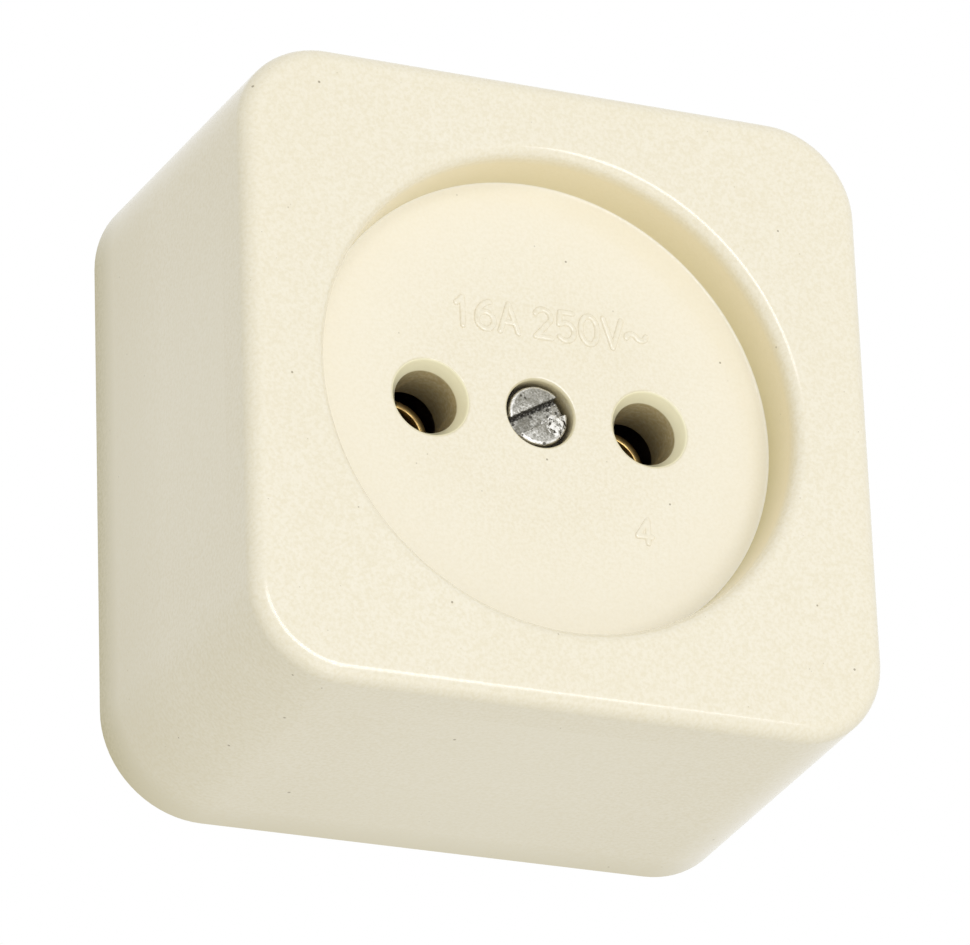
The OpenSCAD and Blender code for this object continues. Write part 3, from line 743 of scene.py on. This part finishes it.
def combine(made, tools, operation):
    """Cuts the tools out of a mesh, or joins them to it, and removes them"""
    for tool in tools:
        step = made.modifiers.new("combine", "BOOLEAN")
        step.object = tool
        step.operation = operation
        step.solver = "MANIFOLD"
        settle(made)
        bpy.data.objects.remove(tool)
    return made


def smooth(made, angle, weighted=True):
    """Shades a mesh smooth up to an angle and keeps its flat faces flat"""
    made.data.shade_smooth()
    made.data.set_sharp_from_angle(angle=math.radians(angle))
    if weighted:
        step = made.modifiers.new("weighted", "WEIGHTED_NORMAL")
        step.keep_sharp = True
        settle(made)
    return made


def join(name, pieces):
    """Joins meshes into one object with their faces as they are"""
    mesh = bmesh.new()
    for piece in pieces:
        mesh.from_mesh(piece.data)
    for piece in pieces:
        bpy.data.objects.remove(piece)
    return object_from(name, mesh)


def stand_for(made, slot, *nodes, finish=None):
    """Gives a finished piece its finish and its place in the frame"""
    made.data.materials.clear()
    made.data.materials.append(finish_named(finish or SLOT_FINISHES[slot]))
    for face in made.data.polygons:
        face.material_index = 0
    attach(made, BODY)
    if nodes:
        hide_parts(*nodes)
    return made


# Cover

def cover_loops(c):
    """Outer skin of the cover, from its back to the middle of the recess floor"""
    at = c.half_back - c.corner - c.lean
    lean = math.atan(c.lean / c.depth)
    soft = 0.12 * MM
    centre = (c.corner + c.edge * math.tan(lean) - c.edge / math.cos(lean), c.depth - c.edge)
    outside = [(c.corner + c.lean - soft, 0.0), (c.corner + c.lean, soft)]
    for share in (i / 8 for i in range(1, 8)):
        outside.append((c.corner + c.lean * (1 - share), share * c.depth))
    outside += arc(centre, c.edge, math.degrees(lean), 90, 14)
    loops = [square_loop(at, r, h) for r, h in outside]
    front = loops[-1]
    rim_radius = c.recess_radius + c.recess_lean + c.recess_rim
    wall_angle = math.degrees(math.atan(c.recess_lean / c.recess_depth))
    rim = circle_like(front, rim_radius, c.depth)
    for share in (0.08, 0.35, 0.65, 0.92):
        loops.append([a.lerp(b, share) for a, b in zip(front, rim)])
    floor = c.depth - c.recess_depth
    inside = arc((rim_radius, c.depth - c.recess_rim), c.recess_rim, 90, 180 - wall_angle, 16)
    straight = c.recess_depth - c.recess_rim
    for share in (0.75, 0.5, 0.25):
        inside.append((c.recess_radius + share * c.recess_lean, floor + share * straight))
    inside += arc((c.recess_radius - c.recess_foot, floor + c.recess_foot), c.recess_foot, 0, -90, 6)
    inside += [(c.recess_radius - c.recess_foot - 0.3 * MM, floor)]
    loops += [circle_like(front, r, h) for r, h in inside]
    return loops


def cavity(c):
    """Room inside the cover, as a tool"""
    at = c.half_back - c.corner - c.lean
    top = c.depth - c.front
    soft = 0.6 * MM
    profile = [(c.corner + c.lean * (1 - h / c.depth) - c.wall, h) for h in (-OVER, top - soft)]
    profile += [(profile[-1][0] - soft, top)]
    room = skin_mesh("room", [square_loop(at, r, h) for r, h in profile])
    floor = c.depth - c.recess_depth
    end = floor - c.collar
    beyond = c.depth + OVER
    keep = [
        rod("dish", c.recess_radius + c.dish, floor - c.floor, beyond, steps=160),
        *(rod("collar", c.collar_radius, end, beyond, x=side * c.pitch / 2) for side in SIDES.values()),
        rod("boss", c.boss_radius, end, beyond),
    ]
    rib_end = end + 0.5 * MM
    for wide, high in ((c.rib / 2, c.recess_radius), (c.recess_radius, c.rib / 2)):
        keep.append(slab("rib", (-wide, -beyond, -high), (wide, -rib_end, high)))
    return combine(room, keep, "DIFFERENCE")


def pin_tool(c, side):
    """Pin hole with its conical mouth and softened edges, as a tool"""
    floor = c.depth - c.recess_depth
    end = floor - c.collar
    narrow = floor - c.mouth_depth
    soft = 0.1 * MM
    lip = 0.3 * MM
    slope = math.degrees(math.atan((c.mouth_radius - c.pin_radius) / c.mouth_depth))
    profile = [(c.pin_radius + soft + OVER, end - OVER), (c.pin_radius + soft, end)]
    profile += [(c.pin_radius, end + soft), (c.pin_radius, end + 1.5 * MM), (c.pin_radius, narrow - soft)]
    profile += [(c.pin_radius + 0.3 * soft, narrow + 0.2 * soft)]
    profile += arc((c.mouth_radius + lip, floor - lip), lip, 180 - slope, 94, 8)
    profile += [(c.mouth_radius + 3 * lip, floor + 0.2 * lip), (c.mouth_radius + 3 * lip, floor + OVER)]
    return revolved("pin_tool", profile, x=side * c.pitch / 2)


def screw_tool(c):
    """Stepped hole of the cover screw with a softened mouth, as a tool"""
    floor = c.depth - c.recess_depth
    soft = 0.3 * MM
    seat = floor - c.screw_seat
    profile = [(c.screw_pass, floor - c.collar - OVER), (c.screw_pass, seat), (c.screw_hole, seat)]
    profile += arc((c.screw_hole + soft, floor - soft), soft, 180, 96, 6)
    profile += [(c.screw_hole + 3 * soft, floor + 0.4 * soft), (c.screw_hole + 3 * soft, floor + OVER)]
    return revolved("screw_tool", profile)


def knockout_tool(c):
    """Arched space that thins the top wall from inside, as a tool"""
    skin = c.half_back - c.lean * c.knockout_height / c.depth - c.knockout_skin
    half = c.knockout_width / 2
    arch = arc((0.0, c.knockout_height - half), half, 0, 180, 24)
    outline = [(half, -OVER), *arch, (-half, -OVER)]
    levels = (skin - c.wall - c.lean, skin)
    return skin_mesh("knockout", [[Vector((x, -h, z)) for x, h in outline] for z in levels])


class SOCKET_OT_cover(bpy.types.Operator):
    """Builds the ivory cover with its recess, pin holes and room inside"""
    bl_idname = "socket.cover"
    bl_label = "Cover"

    def execute(self, context):
        c = context.scene.socket_cover
        made = skin_mesh("cover_moulding", cover_loops(c))
        combine(made, [cavity(c), knockout_tool(c)], "DIFFERENCE")
        combine(made, [pin_tool(c, side) for side in SIDES.values()] + [screw_tool(c)], "DIFFERENCE")
        smooth(made, 32)
        stand_for(made, "ivory_moulding", "cover")
        return {"FINISHED"}


# Lettering

def bow(x, y, wide, high, start, end, steps=14):
    """Points of a stretched arc"""
    angles = [math.radians(start + (end - start) * i / steps) for i in range(steps + 1)]
    return [(x + wide * math.cos(a), y + high * math.sin(a)) for a in angles]


GLYPHS = {
    "0": [bow(0.3, 0.5, 0.3, 0.5, 90, 450, 32)],
    "1": [[(0.1, 0.78), (0.32, 1.0), (0.32, 0.0)]],
    "2": [bow(0.3, 0.72, 0.28, 0.28, 160, -25) + [(0.02, 0.0), (0.58, 0.0)]],
    "4": [[(0.46, 0.0), (0.46, 1.0), (0.0, 0.28), (0.62, 0.28)]],
    "5": [[(0.54, 1.0), (0.1, 1.0), (0.05, 0.56)] + bow(0.28, 0.32, 0.3, 0.32, 122, -140, 20)],
    "6": [bow(0.56, 0.32, 0.56, 0.66, 100, 180, 10) + bow(0.3, 0.3, 0.3, 0.3, 180, 540, 28)],
    "A": [[(0.0, 0.0), (0.32, 1.0), (0.64, 0.0)], [(0.12, 0.34), (0.52, 0.34)]],
    "V": [[(0.0, 1.0), (0.32, 0.0), (0.64, 1.0)]],
    "~": [bow(0.18, 0.44, 0.18, 0.16, 180, 20, 8) + bow(0.52, 0.56, 0.18, 0.16, 200, 360, 8)],
    " ": [],
}
# Width of a letter, and the step to the next after a letter and after a space, in letter heights
GLYPH_WIDTH = 0.6
GLYPH_STEP = 0.82
SPACE_STEP = 0.42
# Turn of a stroke past which it gets a round join
SHARP_TURN = math.radians(35)
# Places of the two marks on the recess floor, from its middle, and the height of the small one's letters
RATING_PLACE = (1.0 * MM, 7.9 * MM)
CAVITY_PLACE = (8.6 * MM, -9.0 * MM)
CAVITY_SHARE = 0.8


def parted(stroke):
    """Stroke parted at its sharp corners, so that each corner gets a round join"""
    parts = [stroke[:2]]
    for a, b, c in zip(stroke, stroke[1:], stroke[2:]):
        turn = (Vector(b) - Vector(a)).angle(Vector(c) - Vector(b))
        if turn > SHARP_TURN:
            parts.append([b, c])
        else:
            parts[-1].append(c)
    return parts


def text_strokes(text, height):
    """Strokes of a line of text as lists of points, centred on the origin"""
    strokes, x = [], 0.0
    for letter in text:
        for stroke in GLYPHS[letter]:
            strokes += [[(x + u, v) for u, v in part] for part in parted(stroke)]
        x += SPACE_STEP if letter == " " else GLYPH_STEP
    width = x - (GLYPH_STEP - GLYPH_WIDTH)
    return [[((u - width / 2) * height, (v - 0.5) * height) for u, v in stroke] for stroke in strokes]


def stroke_tree():
    """Geometry nodes that turn flat strokes into raised strokes with round ends"""
    tree = bpy.data.node_groups.new("raised_strokes", "GeometryNodeTree")
    face = tree.interface
    face.new_socket("Strokes", in_out="INPUT", socket_type="NodeSocketGeometry")
    for label, value in (("Stroke Width", 0.0004), ("Relief", 0.0001)):
        face.new_socket(label, in_out="INPUT", socket_type="NodeSocketFloat").default_value = value
    face.new_socket("Finish", in_out="INPUT", socket_type="NodeSocketMaterial")
    face.new_socket("Geometry", in_out="OUTPUT", socket_type="NodeSocketGeometry")
    nodes = Nodes(tree)
    given = nodes.add("NodeGroupInput").outputs
    half = nodes.times(given["Stroke Width"], 0.5)
    ring = nodes.add("GeometryNodeCurvePrimitiveCircle", {"Resolution": 20, "Radius": half})
    tube = nodes.add("GeometryNodeCurveToMesh", {
        "Curve": given["Strokes"], "Profile Curve": ring.outputs[0], "Fill Caps": True,
    })
    points = nodes.add("GeometryNodeCurveToPoints", {"Curve": given["Strokes"]}, mode="EVALUATED")
    single = nodes.add("GeometryNodeMergeByDistance", {
        "Geometry": points.outputs["Points"], "Distance": 0.05 * MM,
    })
    ball = nodes.add("GeometryNodeMeshIcoSphere", {"Radius": half, "Subdivisions": 3})
    caps = nodes.add("GeometryNodeInstanceOnPoints", {
        "Points": single.outputs[0], "Instance": ball.outputs[0],
    })
    both = nodes.add("GeometryNodeJoinGeometry")
    tree.links.new(tube.outputs[0], both.inputs[0])
    tree.links.new(caps.outputs[0], both.inputs[0])
    real = nodes.add("GeometryNodeRealizeInstances", {"Geometry": both.outputs[0]})
    flat = nodes.math("DIVIDE", given["Relief"], half)
    scale = nodes.add("ShaderNodeCombineXYZ", {"X": 1.0, "Y": 1.0, "Z": flat}).outputs[0]
    low = nodes.add("GeometryNodeTransform", {"Geometry": real.outputs[0], "Scale": scale})
    dressed = nodes.add("GeometryNodeSetMaterial", {
        "Geometry": low.outputs[0], "Material": given["Finish"],
    })
    result = nodes.add("NodeGroupOutput")
    tree.links.new(dressed.outputs[0], result.inputs["Geometry"])
    return tree


def set_inputs(step, values):
    """Sets a geometry nodes modifier's inputs by their names in the tree"""
    for item in step.node_group.interface.items_tree:
        if item.item_type == "SOCKET" and item.in_out == "INPUT" and item.name in values:
            step[item.identifier] = values[item.name]


def raised_text(name, text, height, centre, settings, floor):
    """Raised text on the recess floor, as a plain mesh"""
    curve = bpy.data.curves.new(name, "CURVE")
    curve.dimensions = "3D"
    for stroke in text_strokes(text, height):
        spline = curve.splines.new("POLY")
        spline.points.add(len(stroke) - 1)
        for point, (u, v) in zip(spline.points, stroke):
            point.co = (u, v, 0.0, 1.0)
    source = placed(name + "_strokes", curve)
    step = source.modifiers.new("strokes", "NODES")
    step.node_group = bpy.data.node_groups.get("raised_strokes") or stroke_tree()
    set_inputs(step, {
        "Stroke Width": settings.stroke, "Relief": settings.relief, "Finish": finish_named("aged_ivory"),
    })
    data = evaluated_mesh(source)
    bpy.data.objects.remove(source)
    upright = Matrix(((1, 0, 0, centre[0]), (0, 0, -1, -floor), (0, 1, 0, centre[1]), (0, 0, 0, 1)))
    data.transform(upright)
    return placed(name, data)


class SOCKET_OT_lettering(bpy.types.Operator):
    """Raises plain marks from the recess floor"""
    bl_idname = "socket.lettering"
    bl_label = "Lettering"

    def execute(self, context):
        c = context.scene.socket_cover
        s = context.scene.socket_lettering
        floor = c.depth - c.recess_depth
        marks = [
            raised_text("rating_mark", s.rating, s.height, RATING_PLACE, s, floor),
            raised_text("cavity_mark", s.cavity, CAVITY_SHARE * s.height, CAVITY_PLACE, s, floor),
        ]
        made = smooth(join("floor_marks", marks), 60, weighted=False)
        stand_for(made, "ivory_moulding")
        return {"FINISHED"}


# Screws

# Rows of points along one turn of a thread, and the thread's depth as a share of its pitch
THREAD_ROWS = 6
THREAD_DEPTH = 0.3


def threaded_rows(radius, start, end, pitch, steps):
    """Rows of (radius, angle, height) of a threaded shank, from its tip to its head"""
    count = max(2, int(math.ceil((end - start) / (pitch / THREAD_ROWS))))
    rows = []
    for i in range(count + 1):
        height = start + (end - start) * i / count
        fade = min(1.0, (height - start) / pitch, (end - height) / pitch)
        row = []
        for k in range(steps):
            phase = (height / pitch - k / steps) % 1.0
            groove = THREAD_DEPTH * pitch * abs(2 * phase - 1) * max(0.0, fade)
            row.append((radius - groove, 2 * math.pi * k / steps, height))
        rows.append(row)
    return rows


def head_profile(radius, head_radius, head_height, crown, chamfer):
    """Section of a crowned cheese head, from the shank to its middle, as (radius, height) pairs"""
    soft = 0.08 * MM
    flat = head_radius - chamfer
    shoulder = head_height - crown
    cap_radius = flat ** 2 / (2 * crown) + crown / 2
    reach = math.degrees(math.asin(flat / cap_radius))
    return [
        (radius, 0.0), (head_radius - soft, 0.0), (head_radius, soft), (head_radius, shoulder - chamfer),
        (head_radius - 0.3 * chamfer, shoulder - 0.3 * chamfer),
        *arc((0.0, head_height - cap_radius), cap_radius, 90 - reach, 88.5, 10),
    ]


def screw_mesh(name, axis, seat, facing, head, shank, slot, pitch, steps=72):
    """Slotted cheese head screw: axis (x, z), seat plane, and +1 towards the room or -1 towards the wall"""
    head_radius, head_height, crown, chamfer = head
    radius, length = shank
    slot_width, slot_depth, slot_turn = slot
    tip = 0.4 * MM

    def place(r, angle, height):
        across, upward = r * math.cos(angle), facing * r * math.sin(angle)
        return Vector((axis[0] + across, -(seat + facing * height), axis[1] + upward))

    def ring(r, height):
        return [place(r, 2 * math.pi * k / steps, height) for k in range(steps)]

    loops = [ring(radius - tip, -length), ring(radius - tip / 2, -length + tip / 2)]
    for row in threaded_rows(radius, -length + tip, -0.05 * MM, pitch, steps):
        loops.append([place(*spot) for spot in row])
    loops += [ring(r, h) for r, h in head_profile(radius, head_radius, head_height, crown, chamfer)]
    made = skin_mesh(name, loops)
    depths = sorted(-(seat + facing * h) for h in (head_height - slot_depth, head_height + OVER))
    reach, half = 2 * head_radius, slot_width / 2
    tool = slab("slot", (-reach, depths[0], -half), (reach, depths[1], half))
    tool.data.transform(
        Matrix.Translation((axis[0], 0, axis[1])) @ Matrix.Rotation(-slot_turn, 4, "Y")
    )
    return combine(made, [tool], "DIFFERENCE")


# Cover screw: its shank, and the room that the worn head leaves inside its solid
SHANK_RADIUS = 1.5 * MM
RIM_ROOM = 0.01 * MM
TOP_ROOM = 0.03 * MM
# Its wear: the worn depth of the head, the chewed place along and across the slot with its reach and its
# share, the reach of the slot's chewed edges, and how far torn metal, dents and chewing move the surface
WORN_DEPTH = 1.0 * MM
CHEWED_ALONG = 1.5 * MM
CHEWED_ACROSS = -1.0 * MM
CHEWED_REACH = 0.9 * MM
CHEWED_SHARE = 0.55
EDGE_REACH = 0.22 * MM
TORN = 0.05 * MM
DENTED = 0.02 * MM
SUNK = 0.015 * MM


def wear_screw(made, height, slot_width, slot_turn, grain):
    """Chews the slot's edges and dents the worn head"""
    step = made.modifiers.new("remesh", "REMESH")
    step.mode = "VOXEL"
    step.voxel_size = grain
    settle(made)
    along = Vector((math.cos(slot_turn), 0.0, math.sin(slot_turn)))
    across = Vector((-math.sin(slot_turn), 0.0, math.cos(slot_turn)))
    place = CHEWED_ALONG * along + CHEWED_ACROSS * across
    mesh = bmesh.new()
    mesh.from_mesh(made.data)
    bmesh.ops.smooth_vert(
        mesh, verts=mesh.verts, factor=0.5, use_axis_x=True, use_axis_y=True, use_axis_z=True,
    )
    for vert in mesh.verts:
        if -vert.co.y < height - WORN_DEPTH:
            continue
        off_edge = abs(abs(vert.co.dot(across)) - slot_width / 2) / EDGE_REACH
        off_place = (vert.co - place).length / CHEWED_REACH
        chewed = math.exp(-off_edge ** 2) + CHEWED_SHARE * math.exp(-off_place ** 2)
        rough = noise.noise(vert.co * 5200.0) + 0.5 * noise.noise(vert.co * 11000.0)
        dents = noise.noise(vert.co * 1700.0)
        vert.co += vert.normal * (TORN * rough * min(1.0, chewed) + DENTED * dents - SUNK * chewed)
    mesh.to_mesh(made.data)
    mesh.free()
    return made


class SOCKET_OT_cover_screw(bpy.types.Operator):
    """Builds the worn slotted screw in the middle of the recess"""
    bl_idname = "socket.cover_screw"
    bl_label = "Cover screw"

    def execute(self, context):
        s = context.scene.socket_screw
        c = context.scene.socket_cover
        seat = c.depth - c.recess_depth - c.screw_seat
        head_radius = (SCREW_HIGH.x - SCREW_LOW.x) / 2 - RIM_ROOM
        head = (head_radius, -SCREW_LOW.y - seat - TOP_ROOM, s.crown, s.bevel)
        shank = (SHANK_RADIUS, seat + SCREW_HIGH.y)
        slot = (s.slot_width, s.slot_depth, s.slot_turn)
        made = screw_mesh("worn_cover_screw", (0.0, 0.0), seat, 1, head, shank, slot, s.pitch)
        wear_screw(made, -SCREW_LOW.y, s.slot_width, s.slot_turn, s.grain)
        smooth(made, 50, weighted=False)
        stand_for(made, "plated_screw", "cover_screw", finish="worn_nickel")
        return {"FINISHED"}


class SOCKET_OT_small_screws(bpy.types.Operator):
    """Builds the terminal screws and the fixing screws behind the base"""
    bl_idname = "socket.small_screws"
    bl_label = "Small screws"

    def execute(self, context):
        pitch = context.scene.socket_screw.pitch
        for side, sign in SIDES.items():
            for kind, facing, head_height, radius, turn in (
                ("terminal_screw", 1, 2.2 * MM, 1.75 * MM, math.radians(40)),
                ("fixing_screw", -1, 2.0 * MM, 1.5 * MM, math.radians(25)),
            ):
                low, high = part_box(f"{kind}_{side}")
                middle = (low + high) / 2
                top = -low.y if facing > 0 else -high.y
                tip = -high.y if facing > 0 else -low.y
                seat = top - facing * head_height
                head = ((high.x - low.x) / 2 - 0.005 * MM, head_height, 0.15 * MM, 0.35 * MM)
                shank = (radius, facing * (seat - tip))
                slot = (0.9 * MM, 1.1 * MM, sign * turn)
                made = screw_mesh(
                    f"{kind}_{side}_threaded", (middle.x, middle.z), seat, facing, head, shank, slot,
                    pitch, steps=48,
                )
                smooth(made, 35)
                stand_for(made, "plated_screw", f"{kind}_{side}")
        return {"FINISHED"}


# Contacts

def sleeve_profile(low, high, radius):
    """Section of a contact sleeve, from its neck round the rim and back, as (radius, height) pairs"""
    bore, neck, groove = 2.35 * MM, 2.8 * MM, 0.3 * MM
    strip_top = low + 1.0 * MM
    groove_at = high - 1.2 * MM
    half = 0.45 * MM
    soft = 0.06 * MM
    outside = [
        (bore, low), (neck, low), (neck, strip_top), (radius - soft, strip_top), (radius, strip_top + soft),
        (radius, groove_at - half), (radius - groove, groove_at - half), (radius - groove, groove_at + half),
        (radius, groove_at + half), (radius, high - 2.5 * soft), (radius - 0.4 * soft, high - soft),
    ]
    rounded_mouth = [(0.25, 0.0), (0.16, -0.04), (0.02, -0.24), (0.0, -0.32)]
    mouth = [(bore + out * MM, high + up * MM) for out, up in rounded_mouth]
    return [*outside, (radius - 1.5 * soft, high), *mouth]


class SOCKET_OT_contact_sleeves(bpy.types.Operator):
    """Builds the two slit brass sleeves behind the pin holes"""
    bl_idname = "socket.contact_sleeves"
    bl_label = "Contact sleeves"

    def execute(self, context):
        for side in SIDES:
            low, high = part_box(f"contact_sleeve_{side}")
            middle = (low + high) / 2
            made = revolved(
                f"slit_sleeve_{side}", sleeve_profile(-high.y, -low.y, (high.x - low.x) / 2),
                x=middle.x, z=middle.z, ring=True,
            )
            reach, half, root = 4.0 * MM, 0.35 * MM, high.y - 3.0 * MM
            combine(made, [
                slab("slit", (middle.x - wide, low.y - reach, -thin), (middle.x + wide, root, thin))
                for wide, thin in ((reach, half), (half, reach))
            ], "DIFFERENCE")
            smooth(made, 30)
            stand_for(made, "contact_brass", f"contact_sleeve_{side}")
        return {"FINISHED"}


# Base and the pieces that keep their solids

def softened(node, name, width):
    """Copy of a CAD node with its coplanar triangles merged and its sharp edges softened"""
    data = frame["nodes"][node].data.copy()
    data.name = name
    mesh = bmesh.new()
    mesh.from_mesh(data)
    bmesh.ops.remove_doubles(mesh, verts=mesh.verts, dist=0.001 * MM)
    bmesh.ops.dissolve_limit(mesh, angle_limit=math.radians(0.5), verts=mesh.verts, edges=mesh.edges)
    mesh.to_mesh(data)
    mesh.free()
    if "custom_normal" in data.attributes:
        data.attributes.remove(data.attributes["custom_normal"])
    made = placed(name, data)
    step = made.modifiers.new("soft", "BEVEL")
    step.width = width
    step.segments = 2
    step.limit_method = "ANGLE"
    step.angle_limit = math.radians(40)
    step.use_clamp_overlap = True
    settle(made)
    return smooth(made, 35)


class SOCKET_OT_base(bpy.types.Operator):
    """Dresses the dark base that lies on the wall"""
    bl_idname = "socket.base"
    bl_label = "Base"

    def execute(self, context):
        made = softened("base", "base_moulding", 0.12 * MM)
        stand_for(made, "dark_moulding", "base")
        return {"FINISHED"}


class SOCKET_OT_inner_metal(bpy.types.Operator):
    """Gives the strips, washers, nuts, springs and insert their finishes"""
    bl_idname = "socket.inner_metal"
    bl_label = "Inner metal"

    def execute(self, context):
        for part in frame["record"]["subparts"]:
            made = frame["nodes"][part["node"]]
            made.data.materials.clear()
            made.data.materials.append(finish_named(SLOT_FINISHES[part["material_slot"]]))
        return {"FINISHED"}


# Stage

SENSOR_WIDTH = 36.0
# Lamps: what they aim at, the directions that they span or stand in, and their sizes in metres
LAMP_AIM = Vector((0.0, -15 * MM, 0.0))
KEY_TOP = Vector((-0.26, -0.92, 0.27))
KEY_BEND = Vector((-0.2, -0.98, 0.06))
KEY_LOW = Vector((0.39, -0.88, -0.27))
KEY_TOP_SHARE = 0.27
KEY_DISTANCE = 0.75
KEY_WIDTH = 0.23
KEY_COLOUR = (0.97, 1.0, 1.12)
FILL_WAY = Vector((0.05, -0.55, -0.83))
FILL_DISTANCE = 0.9
FILL_SIZE = 0.7
FILL_COLOUR = (1.0, 0.99, 0.93)
STUDIO_COLOUR = (1.0, 0.985, 0.885, 1.0)
WHITE = (1.0, 1.0, 1.0, 1.0)
FLOOR_HALF = 0.6
FLOOR_COLOUR = (0.9, 0.9, 0.9, 1.0)


def placement(axes, spot):
    """Matrix with the given X, Y and Z axes that stands at a spot"""
    place = Matrix(axes).transposed().to_4x4()
    place.translation = spot
    return place


def lamp(name, shape, width, height, power, colour, place):
    """Area lamp that shines against its own Z axis"""
    data = bpy.data.lights.new(name, "AREA")
    data.shape = shape
    data.size = width
    data.size_y = height
    data.energy = power
    data.color = colour
    placed(name, data).matrix_world = place


class SOCKET_OT_stage(bpy.types.Operator):
    """Sets the camera, the pale floor, the lamps and the white studio"""
    bl_idname = "socket.stage"
    bl_label = "Stage"

    def execute(self, context):
        s = context.scene.socket_stage
        self.camera(context, s)
        self.floor()
        self.world(context, s)
        self.strip_lamp("key", KEY_BEND, KEY_LOW, s.key)
        self.strip_lamp("key_end", KEY_TOP, KEY_BEND, KEY_TOP_SHARE * s.key)
        self.fill_lamp(s.fill)
        context.scene.view_settings.view_transform = "Standard"
        return {"FINISHED"}

    def camera(self, context, s):
        flat = math.cos(s.elevation)
        back = Vector((math.sin(s.azimuth) * flat, -math.cos(s.azimuth) * flat, math.sin(s.elevation)))
        right = (-back).cross(Vector((0, 0, 1))).normalized()
        up = right.cross(-back)
        across = math.cos(s.roll) * right + math.sin(s.roll) * up
        upward = math.cos(s.roll) * up - math.sin(s.roll) * right
        data = bpy.data.cameras.new("photo_view")
        data.lens = s.lens
        data.sensor_width = SENSOR_WIDTH
        data.clip_start = 0.01
        made = placed("photo_view", data)
        made.matrix_world = placement((across, upward, back), Vector(s.target) + back * s.distance)
        context.scene.camera = made

    def floor(self):
        """Pale floor that only the camera sees, and only from above"""
        corners = [(x * FLOOR_HALF, y * FLOOR_HALF) for x, y in ((-1, -1), (1, -1), (1, 1), (-1, 1))]
        data = bpy.data.meshes.new("floor")
        data.from_pydata([(x, y, COVER_LOW.z) for x, y in corners], [], [(0, 1, 2, 3)])
        made = placed("studio_floor", data)
        material = bpy.data.materials.new("pale_floor")
        material.use_nodes = True
        material.node_tree.nodes.clear()
        nodes = Nodes(material.node_tree)
        below = nodes.add("ShaderNodeNewGeometry").outputs["Backfacing"]
        to_camera = nodes.add("ShaderNodeLightPath").outputs["Is Camera Ray"]
        seen = nodes.times(nodes.math("SUBTRACT", 1.0, below), to_camera)
        pale = nodes.add("ShaderNodeBsdfDiffuse", {"Color": FLOOR_COLOUR})
        clear = nodes.add("ShaderNodeBsdfTransparent")
        either = nodes.add("ShaderNodeMixShader", {0: seen, 1: clear.outputs[0], 2: pale.outputs[0]})
        output = nodes.add("ShaderNodeOutputMaterial")
        nodes.feed(either.outputs[0], output.inputs["Surface"])
        data.materials.append(material)

    def world(self, context, s):
        """White to the camera and in reflections, and a softer light on the object"""
        world = bpy.data.worlds.new("white_studio")
        world.use_nodes = True
        world.node_tree.nodes.clear()
        nodes = Nodes(world.node_tree)
        path = nodes.add("ShaderNodeLightPath").outputs
        direct = nodes.math("MAXIMUM", path["Is Camera Ray"], path["Is Glossy Ray"])
        seen = nodes.math("MAXIMUM", direct, path["Is Transmission Ray"])
        white = nodes.add("ShaderNodeBackground", {"Color": WHITE, "Strength": 1.0})
        soft = nodes.add("ShaderNodeBackground", {"Color": STUDIO_COLOUR, "Strength": s.ambient})
        either = nodes.add("ShaderNodeMixShader", {0: seen, 1: soft.outputs[0], 2: white.outputs[0]})
        output = nodes.add("ShaderNodeOutputWorld")
        nodes.feed(either.outputs[0], output.inputs["Surface"])
        context.scene.world = world

    def strip_lamp(self, name, start, end, power):
        """Softbox that spans from one direction to another, seen from what the lamps aim at"""
        middle = (start + end).normalized()
        along = (end - start).normalized()
        across = (along - along.dot(middle) * middle).normalized()
        place = placement((across, middle.cross(across), middle), LAMP_AIM + middle * KEY_DISTANCE)
        width = (end - start).length * KEY_DISTANCE
        lamp(name, "RECTANGLE", width, KEY_WIDTH, power, KEY_COLOUR, place)

    def fill_lamp(self, power):
        """Large soft lamp from below"""
        place = FILL_WAY.to_track_quat("Z", "Y").to_matrix().to_4x4()
        place.translation = LAMP_AIM + FILL_DISTANCE * FILL_WAY.normalized()
        lamp("fill", "DISK", FILL_SIZE, FILL_SIZE, power, FILL_COLOUR, place)


class SOCKET_PT_panel(bpy.types.Panel):
    """Lists the socket's pieces in the sidebar"""
    bl_label = "Socket"
    bl_idname = "SOCKET_PT_panel"
    bl_space_type = "VIEW_3D"
    bl_region_type = "UI"
    bl_category = "Socket"

    def draw(self, context):
        for step in STEPS:
            self.layout.operator(step.bl_idname)
        for name in SETTINGS:
            box = self.layout.box()
            group = getattr(context.scene, name)
            for key in group.bl_rna.properties.keys():
                if key not in ("rna_type", "name"):
                    box.prop(group, key)


SETTINGS = {
    "socket_cover": CoverSettings,
    "socket_lettering": LetteringSettings,
    "socket_screw": ScrewSettings,
    "socket_finish": FinishSettings,
    "socket_stage": StageSettings,
}
STEPS = (
    SOCKET_OT_inner_metal,
    SOCKET_OT_cover,
    SOCKET_OT_lettering,
    SOCKET_OT_cover_screw,
    SOCKET_OT_small_screws,
    SOCKET_OT_contact_sleeves,
    SOCKET_OT_base,
    SOCKET_OT_stage,
)


def register():
    for kind in (*SETTINGS.values(), *STEPS, SOCKET_PT_panel):
        bpy.utils.register_class(kind)
    for name, kind in SETTINGS.items():
        setattr(bpy.types.Scene, name, PointerProperty(type=kind))


def unregister():
    for name in SETTINGS:
        delattr(bpy.types.Scene, name)
    for kind in (SOCKET_PT_panel, *reversed(STEPS), *SETTINGS.values()):
        bpy.utils.unregister_class(kind)


def main():
    register()
    for step in STEPS:
        group, name = step.bl_idname.split(".")
        getattr(getattr(bpy.ops, group), name)()


if __name__ == "__main__":
    main()
